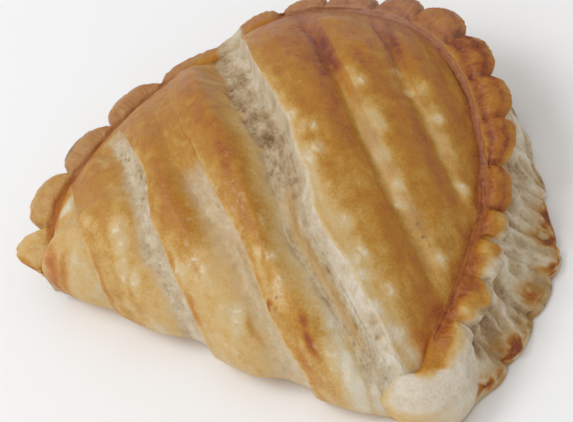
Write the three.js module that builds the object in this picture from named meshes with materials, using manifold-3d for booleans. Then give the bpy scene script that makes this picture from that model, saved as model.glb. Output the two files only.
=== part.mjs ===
// A baked fruit turnover: a puffed half-moon of flaky pastry, slashed across the top,
// folded along its front and crimped into lobes along its curved edge.
// Millimetres. X runs along the fold, Y from the fold to the curved edge, Z up from the base.
import * as THREE from 'three'
import Module from 'manifold-3d'
import * as BufferGeometryUtils from 'three/addons/utils/BufferGeometryUtils.js'

const wasm = await Module()
wasm.setup()

// The pressed seam, a half-moon in plan. It isn't even: along its length, from 0 at the left
// corner to 1 at the right, the left corner is drawn in and the right shoulder is flatter
const halfChord = 60
const seamDepth = 89.3
const seamPower = 2.34
const leftCorner = { shift: 2.6, until: 0.045 }
const shoulder = { shift: 2.4, from: 0.45, full: 0.66, hold: 0.7, until: 0.9 }

// Heights above the base
const domeHeight = 41.5
const foldBulgeHeight = 9
const domeFullness = 2.3
const seamSlope = 0.95
const foldRound = 0.5

// The fold bulges out past the ends of the seam, most on the right of the given X, and rolls
// under to the base over these distances
const foldBulge = { left: 1.6, right: 11.8, from: -66, until: 46 }
const foldSquareness = 12
const foldStart = 0.8
const foldRoll = { left: 13, right: 9, from: -50, until: 0 }
const rimRoll = { distance: 3, from: 40, until: 56 }

// The angles, seen from the middle, over which the edge's height and the dome's reach are eased
const cornerEase = 0.3
const domeEase = 0.9
const softInside = 0.15
const sharpOutside = 0.95

// The crimped rim outside the seam. At stations along the seam, counted from the left corner:
// the height of the seam, how far the nicks and the lobes beyond them reach out, how far the
// edge hangs below the seam and how far the foot of the layered wall stands out
const rimStations = [
  { at: 0, height: 11.5, nick: 1.2, lobe: 10, droop: 0, foot: 1 },
  { at: 20, height: 20.5, nick: 4, lobe: 6.4, droop: 2, foot: 7 },
  { at: 50, height: 21.5, nick: 3.8, lobe: 5.6, droop: 1.4, foot: 8 },
  { at: 76, height: 20.8, nick: 2.4, lobe: 4, droop: 3.6, foot: 8 },
  { at: 94, height: 25.4, nick: 2.2, lobe: 4.8, droop: 2.2, foot: 8 },
  { at: 112, height: 26.4, nick: 3.8, lobe: 4.4, droop: 1, foot: 9 },
  { at: 142, height: 26.4, nick: 6.8, lobe: 4.4, droop: 0.6, foot: 10 },
  { at: 170, height: 22.8, nick: 7, lobe: 3.8, droop: 0.6, foot: 10 },
  { at: 188, height: 19.8, nick: 4, lobe: 3.6, droop: 0.6, foot: 12 },
  { at: 201, height: 17.8, nick: 4.4, lobe: 3.2, droop: 0.6, foot: 16.2 },
  { at: 222, height: 16.5, nick: 6, lobe: 3, droop: 0.6, foot: 14.6 },
  { at: 245, height: 16, nick: 6.4, lobe: 3, droop: 0.6, foot: 11.8 },
]
const lobeWidths = [11, 15, 16.5, 17.5, 18, 18, 12, 14, 12, 13.5, 12.5, 13, 12.5, 12.5, 8, 10.5, 13, 13.5]
const lobeSquareness = 2.2
const lobeRoundness = 0.55
const rightEndShape = 0.75
const edgeThickness = 1.8
const ribDepth = 2
const lobePuff = 0.9
const layerRidges = [0, 0.5, -0.2, 0.4, -0.1]

// The rim reaches in under the body, less at the corners, where it turns in and runs out
// inside the body. Its left tip is lifted off the base
const innerReach = 13
const cornerInner = 0.15
const foldInner = 0.6
const innerEase = 16
const leftTurn = { radius: 3, angle: 0.25, run: 5, shrink: 0.1 }
const tipLift = { height: 4, from: 2, until: 20 }
const rightTurn = { radius: 2, angle: Math.PI / 2, run: 12 }

// The smooth dough at the right corner: how far it stands out past the seam's end, before the
// turn, after it and where it runs out, and the height at which it is widest
const cornerReach = 12
const cornerFoldReach = 9.6
const cornerEndReach = 5
const cornerWaistHeight = 8
const cornerTopAngle = 1.35
const cornerUnderAngle = 1.25
const cornerStart = 9

// The slashes run across the dome at an angle to the fold. Each is given by the place across the
// bands where its open gap ends on the right, the width of the gap and of its steep wall, its
// depth, and how much of the depth is left where it runs out at the front and at the back. The
// wall is on the right of the gap, or on its left where steepLeft is set. From front to back each
// sways across the bands: the shifts are given at places along it
const slashAngle = 40.2 * Math.PI / 180
const slashes = [
  { edge: -22.7, gap: 1.8, wall: 0.6, depth: 1.1, front: 1, back: 0, steepLeft: false },
  { edge: -3, gap: 6, wall: 0.9, depth: 2.8, front: 0.75, back: 0, steepLeft: false },
  { edge: 13.6, gap: 6, wall: 0.9, depth: 3, front: 0.8, back: 0, steepLeft: false },
  { edge: 35.9, gap: 10, wall: 2.4, depth: 4.6, front: 0.3, back: 0.4, steepLeft: false },
  { edge: 54.5, gap: 4.2, wall: 0.9, depth: 2.3, front: 0, back: 0, steepLeft: true },
  { edge: 69, gap: 3, wall: 0.7, depth: 1.3, front: 0, back: 0, steepLeft: true },
]
const sways = [
  [{ at: 20, shift: -1.8 }, { at: 30, shift: 0.3 }, { at: 50, shift: 2 }],
  [
    { at: -5, shift: -2.2 },
    { at: 14, shift: -1.1 },
    { at: 30, shift: 2.4 },
    { at: 46, shift: 2.3 },
    { at: 62, shift: 0.5 },
  ],
  [{ at: -20, shift: -0.6 }, { at: -4, shift: 0.9 }, { at: 28, shift: 0 }],
  [
    { at: -30, shift: -1 },
    { at: -9, shift: -2.5 },
    { at: 6, shift: 0.2 },
    { at: 22, shift: 2.2 },
    { at: 42, shift: 1.3 },
    { at: 60, shift: 1 },
    { at: 77, shift: 0.6 },
  ],
  [{ at: 5, shift: 0 }, { at: 30, shift: 1.6 }],
  [{ at: -10, shift: -0.3 }, { at: 15, shift: 0.3 }, { at: 40, shift: 2 }],
]
const runOutFrom = 0.84
const runOutUntil = 0.99
const bandPuff = 1.1
const lipRise = 0.4

const across = new THREE.Vector2(Math.sin(slashAngle), Math.cos(slashAngle))
const along = new THREE.Vector2(-Math.cos(slashAngle), Math.sin(slashAngle))
const centre = new THREE.Vector2(5, 36)

function smooth(from, to, value) {
  const k = Math.min(1, Math.max(0, (value - from) / (to - from)))
  return k * k * (3 - 2 * k)
}

function mix(a, b, k) {
  return a + (b - a) * k
}

// A point of the seam, the share running 0 at the left corner to 1 at the right
function seamPoint(share) {
  const angle = Math.PI * (1 - share)
  const c = Math.cos(angle)
  const s = Math.max(0, Math.sin(angle))
  const x = halfChord * Math.sign(c) * Math.abs(c) ** (2 / seamPower)
  const corner = leftCorner.shift * (1 - smooth(0, leftCorner.until, share))
  const rise = smooth(shoulder.from, shoulder.full, share)
  const fall = smooth(shoulder.hold, shoulder.until, share)
  return new THREE.Vector2(x + corner - shoulder.shift * rise * (1 - fall), seamDepth * s ** (2 / seamPower))
}

// The seam measured out by length
const seamSteps = 4000
const seamLine = Array.from({ length: seamSteps + 1 }, (_, i) => seamPoint(i / seamSteps))
const seamLengths = [0]
for (let i = 1; i <= seamSteps; i++) {
  seamLengths.push(seamLengths[i - 1] + seamLine[i].distanceTo(seamLine[i - 1]))
}
const seamLength = seamLengths[seamSteps]

function seamAt(length) {
  let low = 0
  let high = seamSteps
  while (high - low > 1) {
    const middle = (low + high) >> 1
    if (seamLengths[middle] <= length) low = middle
    else high = middle
  }
  const k = (length - seamLengths[low]) / (seamLengths[high] - seamLengths[low])
  const point = seamLine[low].clone().lerp(seamLine[high], k)
  const run = seamLine[high].clone().sub(seamLine[low]).normalize()
  return { point, outward: new THREE.Vector2(-run.y, run.x) }
}

// The rim's measures at a length along the seam, eased from station to station
function rimAt(length) {
  let index = 0
  while (index < rimStations.length - 2 && length > rimStations[index + 1].at) index++
  const from = rimStations[index]
  const to = rimStations[index + 1]
  const k = smooth(from.at, to.at, length)
  const measures = {}
  for (const name of Object.keys(from)) measures[name] = mix(from[name], to[name], k)
  return measures
}

// The plan outline of the dome seen from its centre: reach, edge height and how far it is fold
const rimRays = 360
const foldRays = 240

function domeOutline() {
  const points = []
  for (let i = 0; i <= rimRays; i++) {
    const length = seamLength * i / rimRays
    points.push({ at: seamAt(length).point, height: rimAt(length).height, fold: 0 })
  }
  for (let i = 1; i < foldRays; i++) {
    const x = mix(halfChord, leftCorner.shift - halfChord, i / foldRays)
    const ends = Math.sqrt(1 - Math.abs(1 - 2 * i / foldRays) ** foldSquareness)
    const bulge = mix(foldBulge.left, foldBulge.right, smooth(foldBulge.from, foldBulge.until, x)) * ends
    const fold = smooth(0, foldStart, ends)
    const cornerHeight = rimAt(x < 0 ? 0 : seamLength).height
    const height = mix(cornerHeight, foldBulgeHeight, fold)
    points.push({ at: new THREE.Vector2(x, -bulge), height, fold })
  }
  const rays = points.map(({ at, height, fold }) => {
    const ray = at.clone().sub(centre)
    return { angle: Math.atan2(ray.y, ray.x), reach: ray.length(), height, fold }
  })
  rays.sort((a, b) => a.angle - b.angle)
  const eased = rays.map((ray) => easedRay(rays, ray))
  const first = eased[0]
  const last = eased[eased.length - 1]
  eased.unshift({ ...last, angle: last.angle - 2 * Math.PI })
  eased.push({ ...first, angle: first.angle + 2 * Math.PI })
  return eased
}

// The edge height and the fold run smoothly round the corners, and the dome inside the outline
// is rounder than the outline itself
function easedRay(rays, ray) {
  const near = easedOver(rays, ray.angle, cornerEase)
  const wide = easedOver(rays, ray.angle, domeEase)
  return { angle: ray.angle, reach: ray.reach, softReach: wide.reach, height: near.height, fold: near.fold }
}

function easedOver(rays, angle, window) {
  const sum = { weight: 0, reach: 0, height: 0, fold: 0 }
  for (const other of rays) {
    const apart = Math.abs(other.angle - angle)
    const turn = Math.min(apart, 2 * Math.PI - apart)
    const weight = Math.max(0, 1 - turn / window)
    sum.weight += weight
    for (const name of ['reach', 'height', 'fold']) sum[name] += weight * other[name]
  }
  for (const name of ['reach', 'height', 'fold']) sum[name] /= sum.weight
  return sum
}
const outline = domeOutline()

function outlineAt(angle) {
  let low = 0
  let high = outline.length - 1
  while (high - low > 1) {
    const middle = (low + high) >> 1
    if (outline[middle].angle <= angle) low = middle
    else high = middle
  }
  const a = outline[low]
  const b = outline[high]
  const k = (angle - a.angle) / Math.max(1e-9, b.angle - a.angle)
  const edge = {}
  for (const name of ['reach', 'softReach', 'height', 'fold']) edge[name] = mix(a[name], b[name], k)
  return edge
}

// How far out a plan point lies, 0 at the centre and 1 on the outline, with the outline there
function placeOf(x, y) {
  const edge = outlineAt(Math.atan2(y - centre.y, x - centre.x))
  const distance = Math.hypot(x - centre.x, y - centre.y)
  const sharp = Math.min(1, distance / edge.reach)
  const soft = Math.min(1, distance / edge.softReach)
  return { out: mix(soft, sharp, smooth(softInside, sharpOutside, sharp)), edge }
}

function topHeight(x, y) {
  const { out, edge } = placeOf(x, y)
  const roundness = mix(seamSlope, foldRound, edge.fold)
  return edge.height + (domeHeight - edge.height) * (1 - out ** domeFullness) ** roundness
}

// The underside rolls up to the outline over this distance
function rollUnder(x, edge) {
  const front = mix(foldRoll.left, foldRoll.right, smooth(foldRoll.from, foldRoll.until, x))
  const atCorner = smooth(rimRoll.from, rimRoll.until, x)
  return mix(rimRoll.distance, mix(front, rimRoll.distance, atCorner), edge.fold)
}

function underHeight(x, y) {
  const edge = outlineAt(Math.atan2(y - centre.y, x - centre.x))
  const inside = edge.reach - Math.hypot(x - centre.x, y - centre.y)
  const tuck = Math.min(1, Math.max(0, inside / rollUnder(x, edge)))
  return edge.height * (1 - Math.sqrt(1 - (1 - tuck) ** 2))
}

// Where a line along a band leaves the dome, found by halving
const farOutside = 160
const halvings = 40

function reachAlong(acrossAt, side) {
  const start = nearestInside(acrossAt)
  let inside = start
  let outside = start + side * farOutside
  for (let i = 0; i < halvings; i++) {
    const middle = (inside + outside) / 2
    if (isInside(acrossAt, middle)) inside = middle
    else outside = middle
  }
  return inside
}

function swayOf(stations, alongAt) {
  let index = 0
  while (index < stations.length - 2 && alongAt > stations[index + 1].at) index++
  const from = stations[index]
  const to = stations[index + 1]
  return mix(from.shift, to.shift, smooth(from.at, to.at, alongAt))
}

// Both sides of a gap sway alike, and a band's shift runs evenly from one gap to the next
function shiftAt(acrossAt, alongAt) {
  let before = { at: firstEdge, shift: 0 }
  for (let index = 0; index < slashes.length; index++) {
    const { edge, gap } = slashes[index]
    const shift = swayOf(sways[index], alongAt)
    if (acrossAt <= edge - gap) {
      return mix(before.shift, shift, (acrossAt - before.at) / (edge - gap - before.at))
    }
    if (acrossAt <= edge) return shift
    before = { at: edge, shift }
  }
  return before.shift * (lastEdge - acrossAt) / (lastEdge - before.at)
}

function planPoint(acrossAt, alongAt) {
  const shift = shiftAt(acrossAt, alongAt)
  return across.clone().multiplyScalar(acrossAt + shift).addScaledVector(along, alongAt)
}

function isInside(acrossAt, alongAt) {
  const p = planPoint(acrossAt, alongAt)
  const edge = outlineAt(Math.atan2(p.y - centre.y, p.x - centre.x))
  return p.distanceTo(centre) < edge.reach
}

// The place along a band line that lies deepest inside the outline
function nearestInside(acrossAt) {
  let best = 0
  let bestOut = Infinity
  for (let alongAt = -halfChord; alongAt <= seamDepth; alongAt += 1) {
    const p = planPoint(acrossAt, alongAt)
    const edge = outlineAt(Math.atan2(p.y - centre.y, p.x - centre.x))
    const out = p.distanceTo(centre) / edge.reach
    if (out < bestOut) {
      bestOut = out
      best = alongAt
    }
  }
  return best
}

// The rise of the crust over the plain dome: each band is raised at its left edge and puffed in
// the middle. It slopes down to a gap with its wall on the right, and drops into one with its
// wall on the left, which then climbs gently to the next band
const endMargin = 0.4
const seamAcross = seamLine.map((p) => p.dot(across))
const firstEdge = Math.min(...seamAcross) + endMargin
const lastEdge = Math.max(...seamAcross) - endMargin

function bandOf(acrossAt) {
  let index = 0
  while (index < slashes.length && acrossAt >= slashes[index].edge) index++
  return index
}

function crustRise(acrossAt) {
  const index = bandOf(acrossAt)
  const start = index === 0 ? firstEdge : slashes[index - 1].edge
  const next = slashes[index]
  const end = next ? next.edge - next.gap : lastEdge
  const slope = next && !next.steepLeft ? next.depth : 0
  const f = (acrossAt - start) / (end - start)
  if (f <= 1) {
    const lip = lipRise * (1 - smooth(0, 0.5, f))
    return lip + bandPuff * Math.sin(Math.PI * Math.min(1, f)) - slope * smooth(0.5, 1.05, f)
  }
  if (next.steepLeft) {
    const drop = smooth(end, end + next.wall, acrossAt)
    return mix(-next.depth * drop, lipRise, smooth(end + next.wall, next.edge, acrossAt))
  }
  return mix(-next.depth, lipRise, smooth(next.edge - next.wall, next.edge, acrossAt))
}

// A section across the body at one place across the bands: over the top, back underneath
const topSteps = 26
const shareStep = 0.01
const besideStep = 0.4
const underShares = [1, 0.6, 0.3, 0.1]

function domePoint(acrossAt, alongFrom, alongTo, share) {
  const alongAt = mix(alongFrom, alongTo, (1 - Math.cos(Math.PI * share)) / 2)
  const p = planPoint(acrossAt, alongAt)
  return new THREE.Vector3(p.x, p.y, topHeight(p.x, p.y))
}

function bodySection(acrossAt, riseAt) {
  const runOut = slashes[bandOf(acrossAt)] ?? { front: 0, back: 0 }
  const from = reachAlong(acrossAt, -1)
  const to = reachAlong(acrossAt, 1)
  const otherFrom = reachAlong(acrossAt - besideStep, -1)
  const otherTo = reachAlong(acrossAt - besideStep, 1)
  const loop = []
  for (let i = 0; i <= topSteps; i++) {
    const share = i / topSteps
    const here = domePoint(acrossAt, from, to, share)
    const before = domePoint(acrossAt, from, to, Math.max(0, share - shareStep))
    const after = domePoint(acrossAt, from, to, Math.min(1, share + shareStep))
    const beside = domePoint(acrossAt - besideStep, otherFrom, otherTo, share)
    const normal = after.sub(before).cross(here.clone().sub(beside)).normalize()
    const outside = new THREE.Vector3(here.x - centre.x, here.y - centre.y, domeHeight)
    if (normal.dot(outside) < 0) normal.negate()
    const { out } = placeOf(here.x, here.y)
    const kept = share < 0.5 ? runOut.front : runOut.back
    const held = mix(1, kept, smooth(runOutFrom, runOutUntil, out))
    loop.push(here.addScaledVector(normal, riseAt * held))
  }
  const length = to - from
  const start = planPoint(acrossAt, from)
  const startEdge = outlineAt(Math.atan2(start.y - centre.y, start.x - centre.x))
  const roll = Math.min(0.6 * length, rollUnder(start.x, startEdge) / Math.sin(slashAngle) * 1.1)
  const back = planPoint(acrossAt, to - 0.2 * Math.min(length, 30))
  loop.push(new THREE.Vector3(back.x, back.y, underHeight(back.x, back.y)))
  for (const share of underShares) {
    const p = planPoint(acrossAt, from + roll * share)
    const height = underHeight(p.x, p.y)
    const push = p.clone().sub(centre).normalize().multiplyScalar(riseAt * runOut.front * (1 - share))
    loop.push(new THREE.Vector3(p.x + push.x, p.y + push.y, height))
  }
  return loop
}

// Places across the bands where a section is taken, close together at the crisp edges
function sectionPlaces() {
  const places = []
  for (let index = 0; index <= slashes.length; index++) {
    const start = index === 0 ? firstEdge : slashes[index - 1].edge
    const next = slashes[index]
    const end = next ? next.edge - next.gap : lastEdge
    for (const f of [0, 0.07, 0.22, 0.42, 0.62, 0.8, 0.92]) places.push(mix(start, end, f))
    places.push(end)
    if (next) places.push(next.steepLeft ? end + next.wall : next.edge - next.wall)
  }
  return places
}

// A closed solid through a run of loops that all have as many points
function loft(loops) {
  const count = loops[0].length
  const points = loops.flat()
  const triangles = []
  for (let row = 0; row + 1 < loops.length; row++) {
    for (let i = 0; i < count; i++) {
      const a = row * count + i
      const b = row * count + (i + 1) % count
      triangles.push(a, b, b + count, a, b + count, a + count)
    }
  }
  const lastRow = (loops.length - 1) * count
  for (const [a, b, c] of endFan(count)) triangles.push(a, c, b)
  for (const [a, b, c] of endFan(count)) triangles.push(lastRow + a, lastRow + b, lastRow + c)
  return solidFrom(points, triangles)
}

function solidFrom(points, triangles) {
  const volume = signedVolume(points, triangles)
  if (volume < 0) {
    for (let i = 0; i < triangles.length; i += 3) {
      const keep = triangles[i + 1]
      triangles[i + 1] = triangles[i + 2]
      triangles[i + 2] = keep
    }
  }
  const vertProperties = new Float32Array(points.flatMap((p) => [p.x, p.y, p.z]))
  const triVerts = new Uint32Array(triangles)
  return new wasm.Manifold(new wasm.Mesh({ numProp: 3, vertProperties, triVerts }))
}

function signedVolume(points, triangles) {
  let sum = 0
  for (let i = 0; i < triangles.length; i += 3) {
    const a = points[triangles[i]]
    const b = points[triangles[i + 1]]
    const c = points[triangles[i + 2]]
    sum += a.dot(b.clone().cross(c)) / 6
  }
  return sum
}

// Both ends of a loft are closed by a fan from the first point of the loop
function endFan(count) {
  const triangles = []
  for (let i = 1; i + 1 < count; i++) triangles.push([0, i, i + 1])
  return triangles
}

// The crimped rim: lobes of uneven width, counted along the seam
const lobeTotal = lobeWidths.reduce((sum, width) => sum + width, 0)
const lobeStarts = [0]
for (const width of lobeWidths) {
  lobeStarts.push(lobeStarts[lobeStarts.length - 1] + width * seamLength / lobeTotal)
}

// 1 on the crown of a lobe, 0 in the nick between two
function lobeShape(length) {
  if (length <= 0) return 0
  if (length >= seamLength) return rightEndShape
  let index = 0
  while (lobeStarts[index + 1] < length) index++
  const f = (length - lobeStarts[index]) / (lobeStarts[index + 1] - lobeStarts[index])
  const round = (1 - Math.abs(2 * f - 1) ** lobeSquareness) ** lobeRoundness
  const last = index === lobeWidths.length - 1 ? smooth(0.2, 1, f) : 0
  return mix(round, rightEndShape, last)
}

// The line the rim follows: the seam, then a tight turn and a straight run back under the fold
function rimPath(length) {
  const { point, outward } = seamAt(Math.min(seamLength, Math.max(0, length)))
  const over = length < 0 ? -length : length - seamLength
  if (over <= 0) return { point, outward, turned: 0, run: 0 }
  const side = length < 0 ? -1 : 1
  const turn = length < 0 ? leftTurn : rightTurn
  const angle = Math.min(turn.angle, over / turn.radius)
  const run = Math.max(0, over - turn.radius * turn.angle)
  const start = Math.atan2(-outward.y, side * outward.x)
  outward.set(side * Math.cos(start + angle), -Math.sin(start + angle))
  point.x += turn.radius * (outward.x - side * Math.cos(start)) - side * run
  point.y += turn.radius * (outward.y + Math.sin(start))
  return { point, outward, turned: angle / turn.angle, run: run / turn.run }
}

// The outline of the crimped rim cut square to the seam: reach out from the seam, height
function crimpedProfile(length, shrink) {
  const { height, nick, lobe, droop, foot } = rimAt(length)
  const shape = lobeShape(length)
  const reach = (nick + lobe * shape) * shrink
  const edge = height - droop - edgeThickness
  const crown = height + 0.3 - droop * 0.3 + lobePuff * (shape - 0.4)
  const waist = (nick - 0.6 + ribDepth * shape) * shrink
  const footReach = Math.max(-5, foot + ribDepth * (shape - 1))
  const points = [
    [-6, height - 7],
    [-1.2, height - 2.2],
    [0.8 * shrink, height - 1.2],
    [1.9 * shrink, height - 0.1],
    [reach * 0.55, crown],
    [reach * 0.86, mix(crown, edge, 0.45)],
    [reach, edge],
  ]
  layerRidges.forEach((ridge, i) => {
    const k = i / (layerRidges.length - 1)
    points.push([mix(waist, footReach, k ** 1.5) + ridge * shrink, mix(edge - 1.7, 3, k)])
  })
  points.push([footReach + 0.3 * shrink, 1.6])
  points.push([footReach - 0.8, 0])
  points.push([Math.min(-2, footReach - 2.5), 0])
  points.push([-innerReach, 2])
  const lift = tipLift.height * (1 - smooth(tipLift.from, tipLift.until, length))
  return points.map(([out, level]) => [out, lift + level * (1 - lift / height)])
}

// The smooth round end of the dough at the right corner, with as many points
function roundProfile(reach, count) {
  const height = rimAt(seamLength).height
  const points = [[-6, height - 7], [-1.2, height - 2.2]]
  const steps = count - 5
  for (let i = 0; i <= steps; i++) {
    const angle = mix(cornerTopAngle, -cornerUnderAngle, i / steps)
    const above = angle > 0 ? height - cornerWaistHeight : cornerWaistHeight / Math.sin(cornerUnderAngle)
    const inset = angle > 0 ? 0 : 0.4 * reach * (1 - Math.cos(angle))
    points.push([angle > 0 ? reach * Math.cos(angle) : reach - inset, cornerWaistHeight + above * Math.sin(angle)])
  }
  points.push([-2, 0])
  points.push([-innerReach, 2])
  return points
}

function rimSection(length) {
  const { point, outward, turned, run } = rimPath(length)
  const shrink = length < 0 ? mix(leftTurn.shrink, 1, Math.sqrt(1 - turned ** 2)) : 1
  const crimped = crimpedProfile(length, shrink)
  const cornerOut = mix(cornerReach, cornerFoldReach, length > seamLength ? smooth(0.4, 1, turned) : 0)
  const round = roundProfile(mix(cornerOut, cornerEndReach, run), crimped.length)
  const k = smooth(seamLength - cornerStart, seamLength + 1, length)
  const fromEnd = Math.min(length, seamLength - length)
  const inner = mix(mix(cornerInner, 1, smooth(0, innerEase, fromEnd)), foldInner, length > 0 ? run : 0)
  return crimped.map(([out, height], i) => {
    const outer = mix(out, round[i][0], k)
    const reach = outer < 0 ? outer * inner : outer
    const level = mix(height, round[i][1], k)
    return new THREE.Vector3(point.x + outward.x * reach, point.y + outward.y * reach, level)
  })
}

function rimPlaces() {
  const places = []
  const leftLength = leftTurn.radius * leftTurn.angle
  places.push(-leftLength - leftTurn.run)
  for (const share of [1, 0.7, 0.4, 0.15]) places.push(-leftLength * share)
  for (let index = 0; index < lobeWidths.length; index++) {
    const start = lobeStarts[index]
    const end = lobeStarts[index + 1]
    for (const f of [0, 0.05, 0.16, 0.32, 0.5, 0.68, 0.84, 0.95]) places.push(mix(start, end, f))
  }
  places.push(seamLength)
  const rightLength = rightTurn.radius * rightTurn.angle
  for (const share of [0.15, 0.35, 0.55, 0.75, 1]) places.push(seamLength + rightLength * share)
  for (const share of [0.2, 0.5, 1]) places.push(seamLength + rightLength + rightTurn.run * share)
  return places
}

function meshOf(solid, colour) {
  const { vertProperties, triVerts } = solid.getMesh()
  let geometry = new THREE.BufferGeometry()
  geometry.setAttribute('position', new THREE.BufferAttribute(new Float32Array(vertProperties), 3))
  geometry.setIndex(new THREE.BufferAttribute(new Uint32Array(triVerts), 1))
  geometry = BufferGeometryUtils.mergeVertices(geometry, 1e-4)
  geometry.computeVertexNormals()
  const material = new THREE.MeshStandardMaterial({ color: colour, roughness: 0.45, metalness: 0 })
  return new THREE.Mesh(geometry, material)
}

const body = loft(sectionPlaces().map((place) => bodySection(place, crustRise(place))))
const rim = loft(rimPlaces().map(rimSection))
const pastry = body.add(rim)
const turnover = meshOf(pastry, '#c08a42')
turnover.name = 'turnover'

// Stand the piece on its base with its bounding box centred on the origin
turnover.geometry.computeBoundingBox()
const middle = turnover.geometry.boundingBox.getCenter(new THREE.Vector3())
turnover.geometry.translate(-middle.x, -middle.y, -turnover.geometry.boundingBox.min.z)

const group = new THREE.Group()
group.name = 'turnover_group'
group.add(turnover)

export default group
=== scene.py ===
"""A baked fruit turnover: a puffed, slashed and glazed half-moon of flaky pastry with a crimped rim.

Shapes are worked out in millimetres, X along the fold, Y from the fold to the curved edge, Z up.
They are set on the frame's box and turned into metres when their meshes are made.
"""

import itertools
import math
from types import SimpleNamespace

import bpy
import numpy as np
from mathutils import Matrix, Vector


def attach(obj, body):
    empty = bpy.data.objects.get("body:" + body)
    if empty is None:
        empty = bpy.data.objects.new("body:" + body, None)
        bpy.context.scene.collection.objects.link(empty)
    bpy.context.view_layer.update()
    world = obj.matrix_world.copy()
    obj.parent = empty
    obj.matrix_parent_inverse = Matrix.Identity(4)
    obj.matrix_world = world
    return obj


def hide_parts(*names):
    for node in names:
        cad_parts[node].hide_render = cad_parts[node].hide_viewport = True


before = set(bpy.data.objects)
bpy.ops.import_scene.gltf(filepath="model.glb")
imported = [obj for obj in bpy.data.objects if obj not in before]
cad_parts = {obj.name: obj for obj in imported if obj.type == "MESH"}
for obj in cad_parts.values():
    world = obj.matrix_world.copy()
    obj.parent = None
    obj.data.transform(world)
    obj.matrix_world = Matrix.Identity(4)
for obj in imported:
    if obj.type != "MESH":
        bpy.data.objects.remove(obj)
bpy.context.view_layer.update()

MM = 0.001

# The pressed seam, a half-moon in plan, drawn in at its left corner and flatter at its shoulder
HALF_CHORD = 60
SEAM_DEPTH = 89.3
SEAM_POWER = 2.34
LEFT_CORNER = {"shift": 2.6, "until": 0.045}
SHOULDER = {"shift": 2.4, "from": 0.45, "full": 0.66, "hold": 0.7, "until": 0.9}

# Heights above the base, and how full the dome is
DOME_HEIGHT = 41.5
FOLD_BULGE_HEIGHT = 9
DOME_FULLNESS = 2.3
SEAM_SLOPE = 0.95
FOLD_ROUND = 0.5

# The fold bulges out past the seam's ends and rolls under to the base
FOLD_BULGE = {"left": 1.6, "right": 11.8, "from": -66, "until": 46}
FOLD_SQUARENESS = 12
FOLD_START = 0.8
FOLD_ROLL = {"left": 13, "right": 9, "from": -50, "until": 0}
RIM_ROLL = {"distance": 3, "from": 40, "until": 56}
CORNER_EASE = 0.3
DOME_EASE = 0.9
SOFT_INSIDE = 0.15
SHARP_OUTSIDE = 0.95
CENTRE = (5, 36)

# Stations along the seam, each with its length along it and the measures named here: height of the
# seam, reach of nicks and lobes, droop of the edge, and reach of the foot
RIM_MEASURES = ("height", "nick", "lobe", "droop", "foot")
RIM_STATIONS = [
    (0, 11.5, 1.2, 10, 0, 1),
    (20, 20.5, 4, 6.4, 2, 7),
    (50, 21.5, 3.8, 5.6, 1.4, 8),
    (76, 20.8, 2.4, 4, 3.6, 8),
    (94, 25.4, 2.2, 4.8, 2.2, 8),
    (112, 26.4, 3.8, 4.4, 1, 9),
    (142, 26.4, 6.8, 4.4, 0.6, 10),
    (170, 22.8, 7, 3.8, 0.6, 10),
    (188, 19.8, 4, 3.6, 0.6, 12),
    (201, 17.8, 4.4, 3.2, 0.6, 16.2),
    (222, 16.5, 6, 3, 0.6, 14.6),
    (245, 16, 6.4, 3, 0.6, 11.8),
]
LOBE_WIDTHS = [11, 15, 16.5, 17.5, 18, 18, 12, 14, 12, 13.5, 12.5, 13, 12.5, 12.5, 8, 10.5, 13, 13.5]
LOBE_SQUARENESS = 2.2
LOBE_ROUNDNESS = 0.55
RIGHT_END_SHAPE = 0.75
EDGE_THICKNESS = 1.8
RIB_DEPTH = 2
LOBE_PUFF = 0.9
INNER_REACH = 13
CORNER_INNER = 0.15
FOLD_INNER = 0.6
INNER_EASE = 16
LEFT_TURN = {"radius": 3, "angle": 0.25, "run": 5, "shrink": 0.1}
TIP_LIFT = {"height": 4, "from": 2, "until": 20}
RIGHT_TURN = {"radius": 2, "angle": math.pi / 2, "run": 12}

# The smooth unglazed dough at the right corner
CORNER_REACH = 12
CORNER_FOLD_REACH = 9.6
CORNER_END_REACH = 5
CORNER_WAIST_HEIGHT = 8
CORNER_TOP_ANGLE = 1.35
CORNER_UNDER_ANGLE = 1.25
CORNER_START = 9

# The slashes: place across the bands where the open gap ends on the right, width of the gap and
# of its steep wall, depth, what is left of the depth where it runs out at the front and back, and
# whether the wall is on the left. Each sways across the bands from front to back
SLASH_ANGLE = math.radians(40.2)
SLASH_MEASURES = ("edge", "gap", "wall", "depth", "front", "back", "steep_left")
SLASHES = [dict(zip(SLASH_MEASURES, row)) for row in [
    (-22.7, 1.8, 0.6, 1.1, 1, 0, False),
    (-3, 6, 0.9, 2.8, 0.75, 0, False),
    (13.6, 6, 0.9, 3, 0.8, 0, False),
    (35.9, 10, 2.4, 4.6, 0.3, 0.4, False),
    (54.5, 4.8, 2.2, 1.6, 0, 0, True),
    (69, 3.4, 1.7, 0.9, 0, 0, True),
]]
SWAYS = [
    [(20, -1.8), (30, 0.3), (50, 2)],
    [(-5, -2.2), (14, -1.1), (30, 2.4), (46, 2.3), (62, 0.5)],
    [(-20, -0.6), (-4, 0.9), (28, 0)],
    [(-30, -1), (-9, -2.5), (6, 0.2), (22, 2.2), (42, 1.3), (60, 1), (77, 0.6)],
    [(5, 0), (30, 1.6)],
    [(-10, -0.3), (15, 0.3), (40, 2)],
]
WIDEST = 3
RUN_OUT = (0.84, 0.99)
BAND_PUFF = 1.1
LIP_RISE = 0.4
ACROSS = np.array([math.sin(SLASH_ANGLE), math.cos(SLASH_ANGLE)])
ALONG = np.array([-math.cos(SLASH_ANGLE), math.sin(SLASH_ANGLE)])

# The camera, in millimetres and degrees round the point that it looks at
LOOK_AT = (-1.0, -9.9, 13.9)
CAMERA_AZIMUTH = 51.5
CAMERA_ELEVATION = 45.7
CAMERA_ROLL = 28.5
CAMERA_DISTANCE = 700
CAMERA_LENS = 173.7


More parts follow.
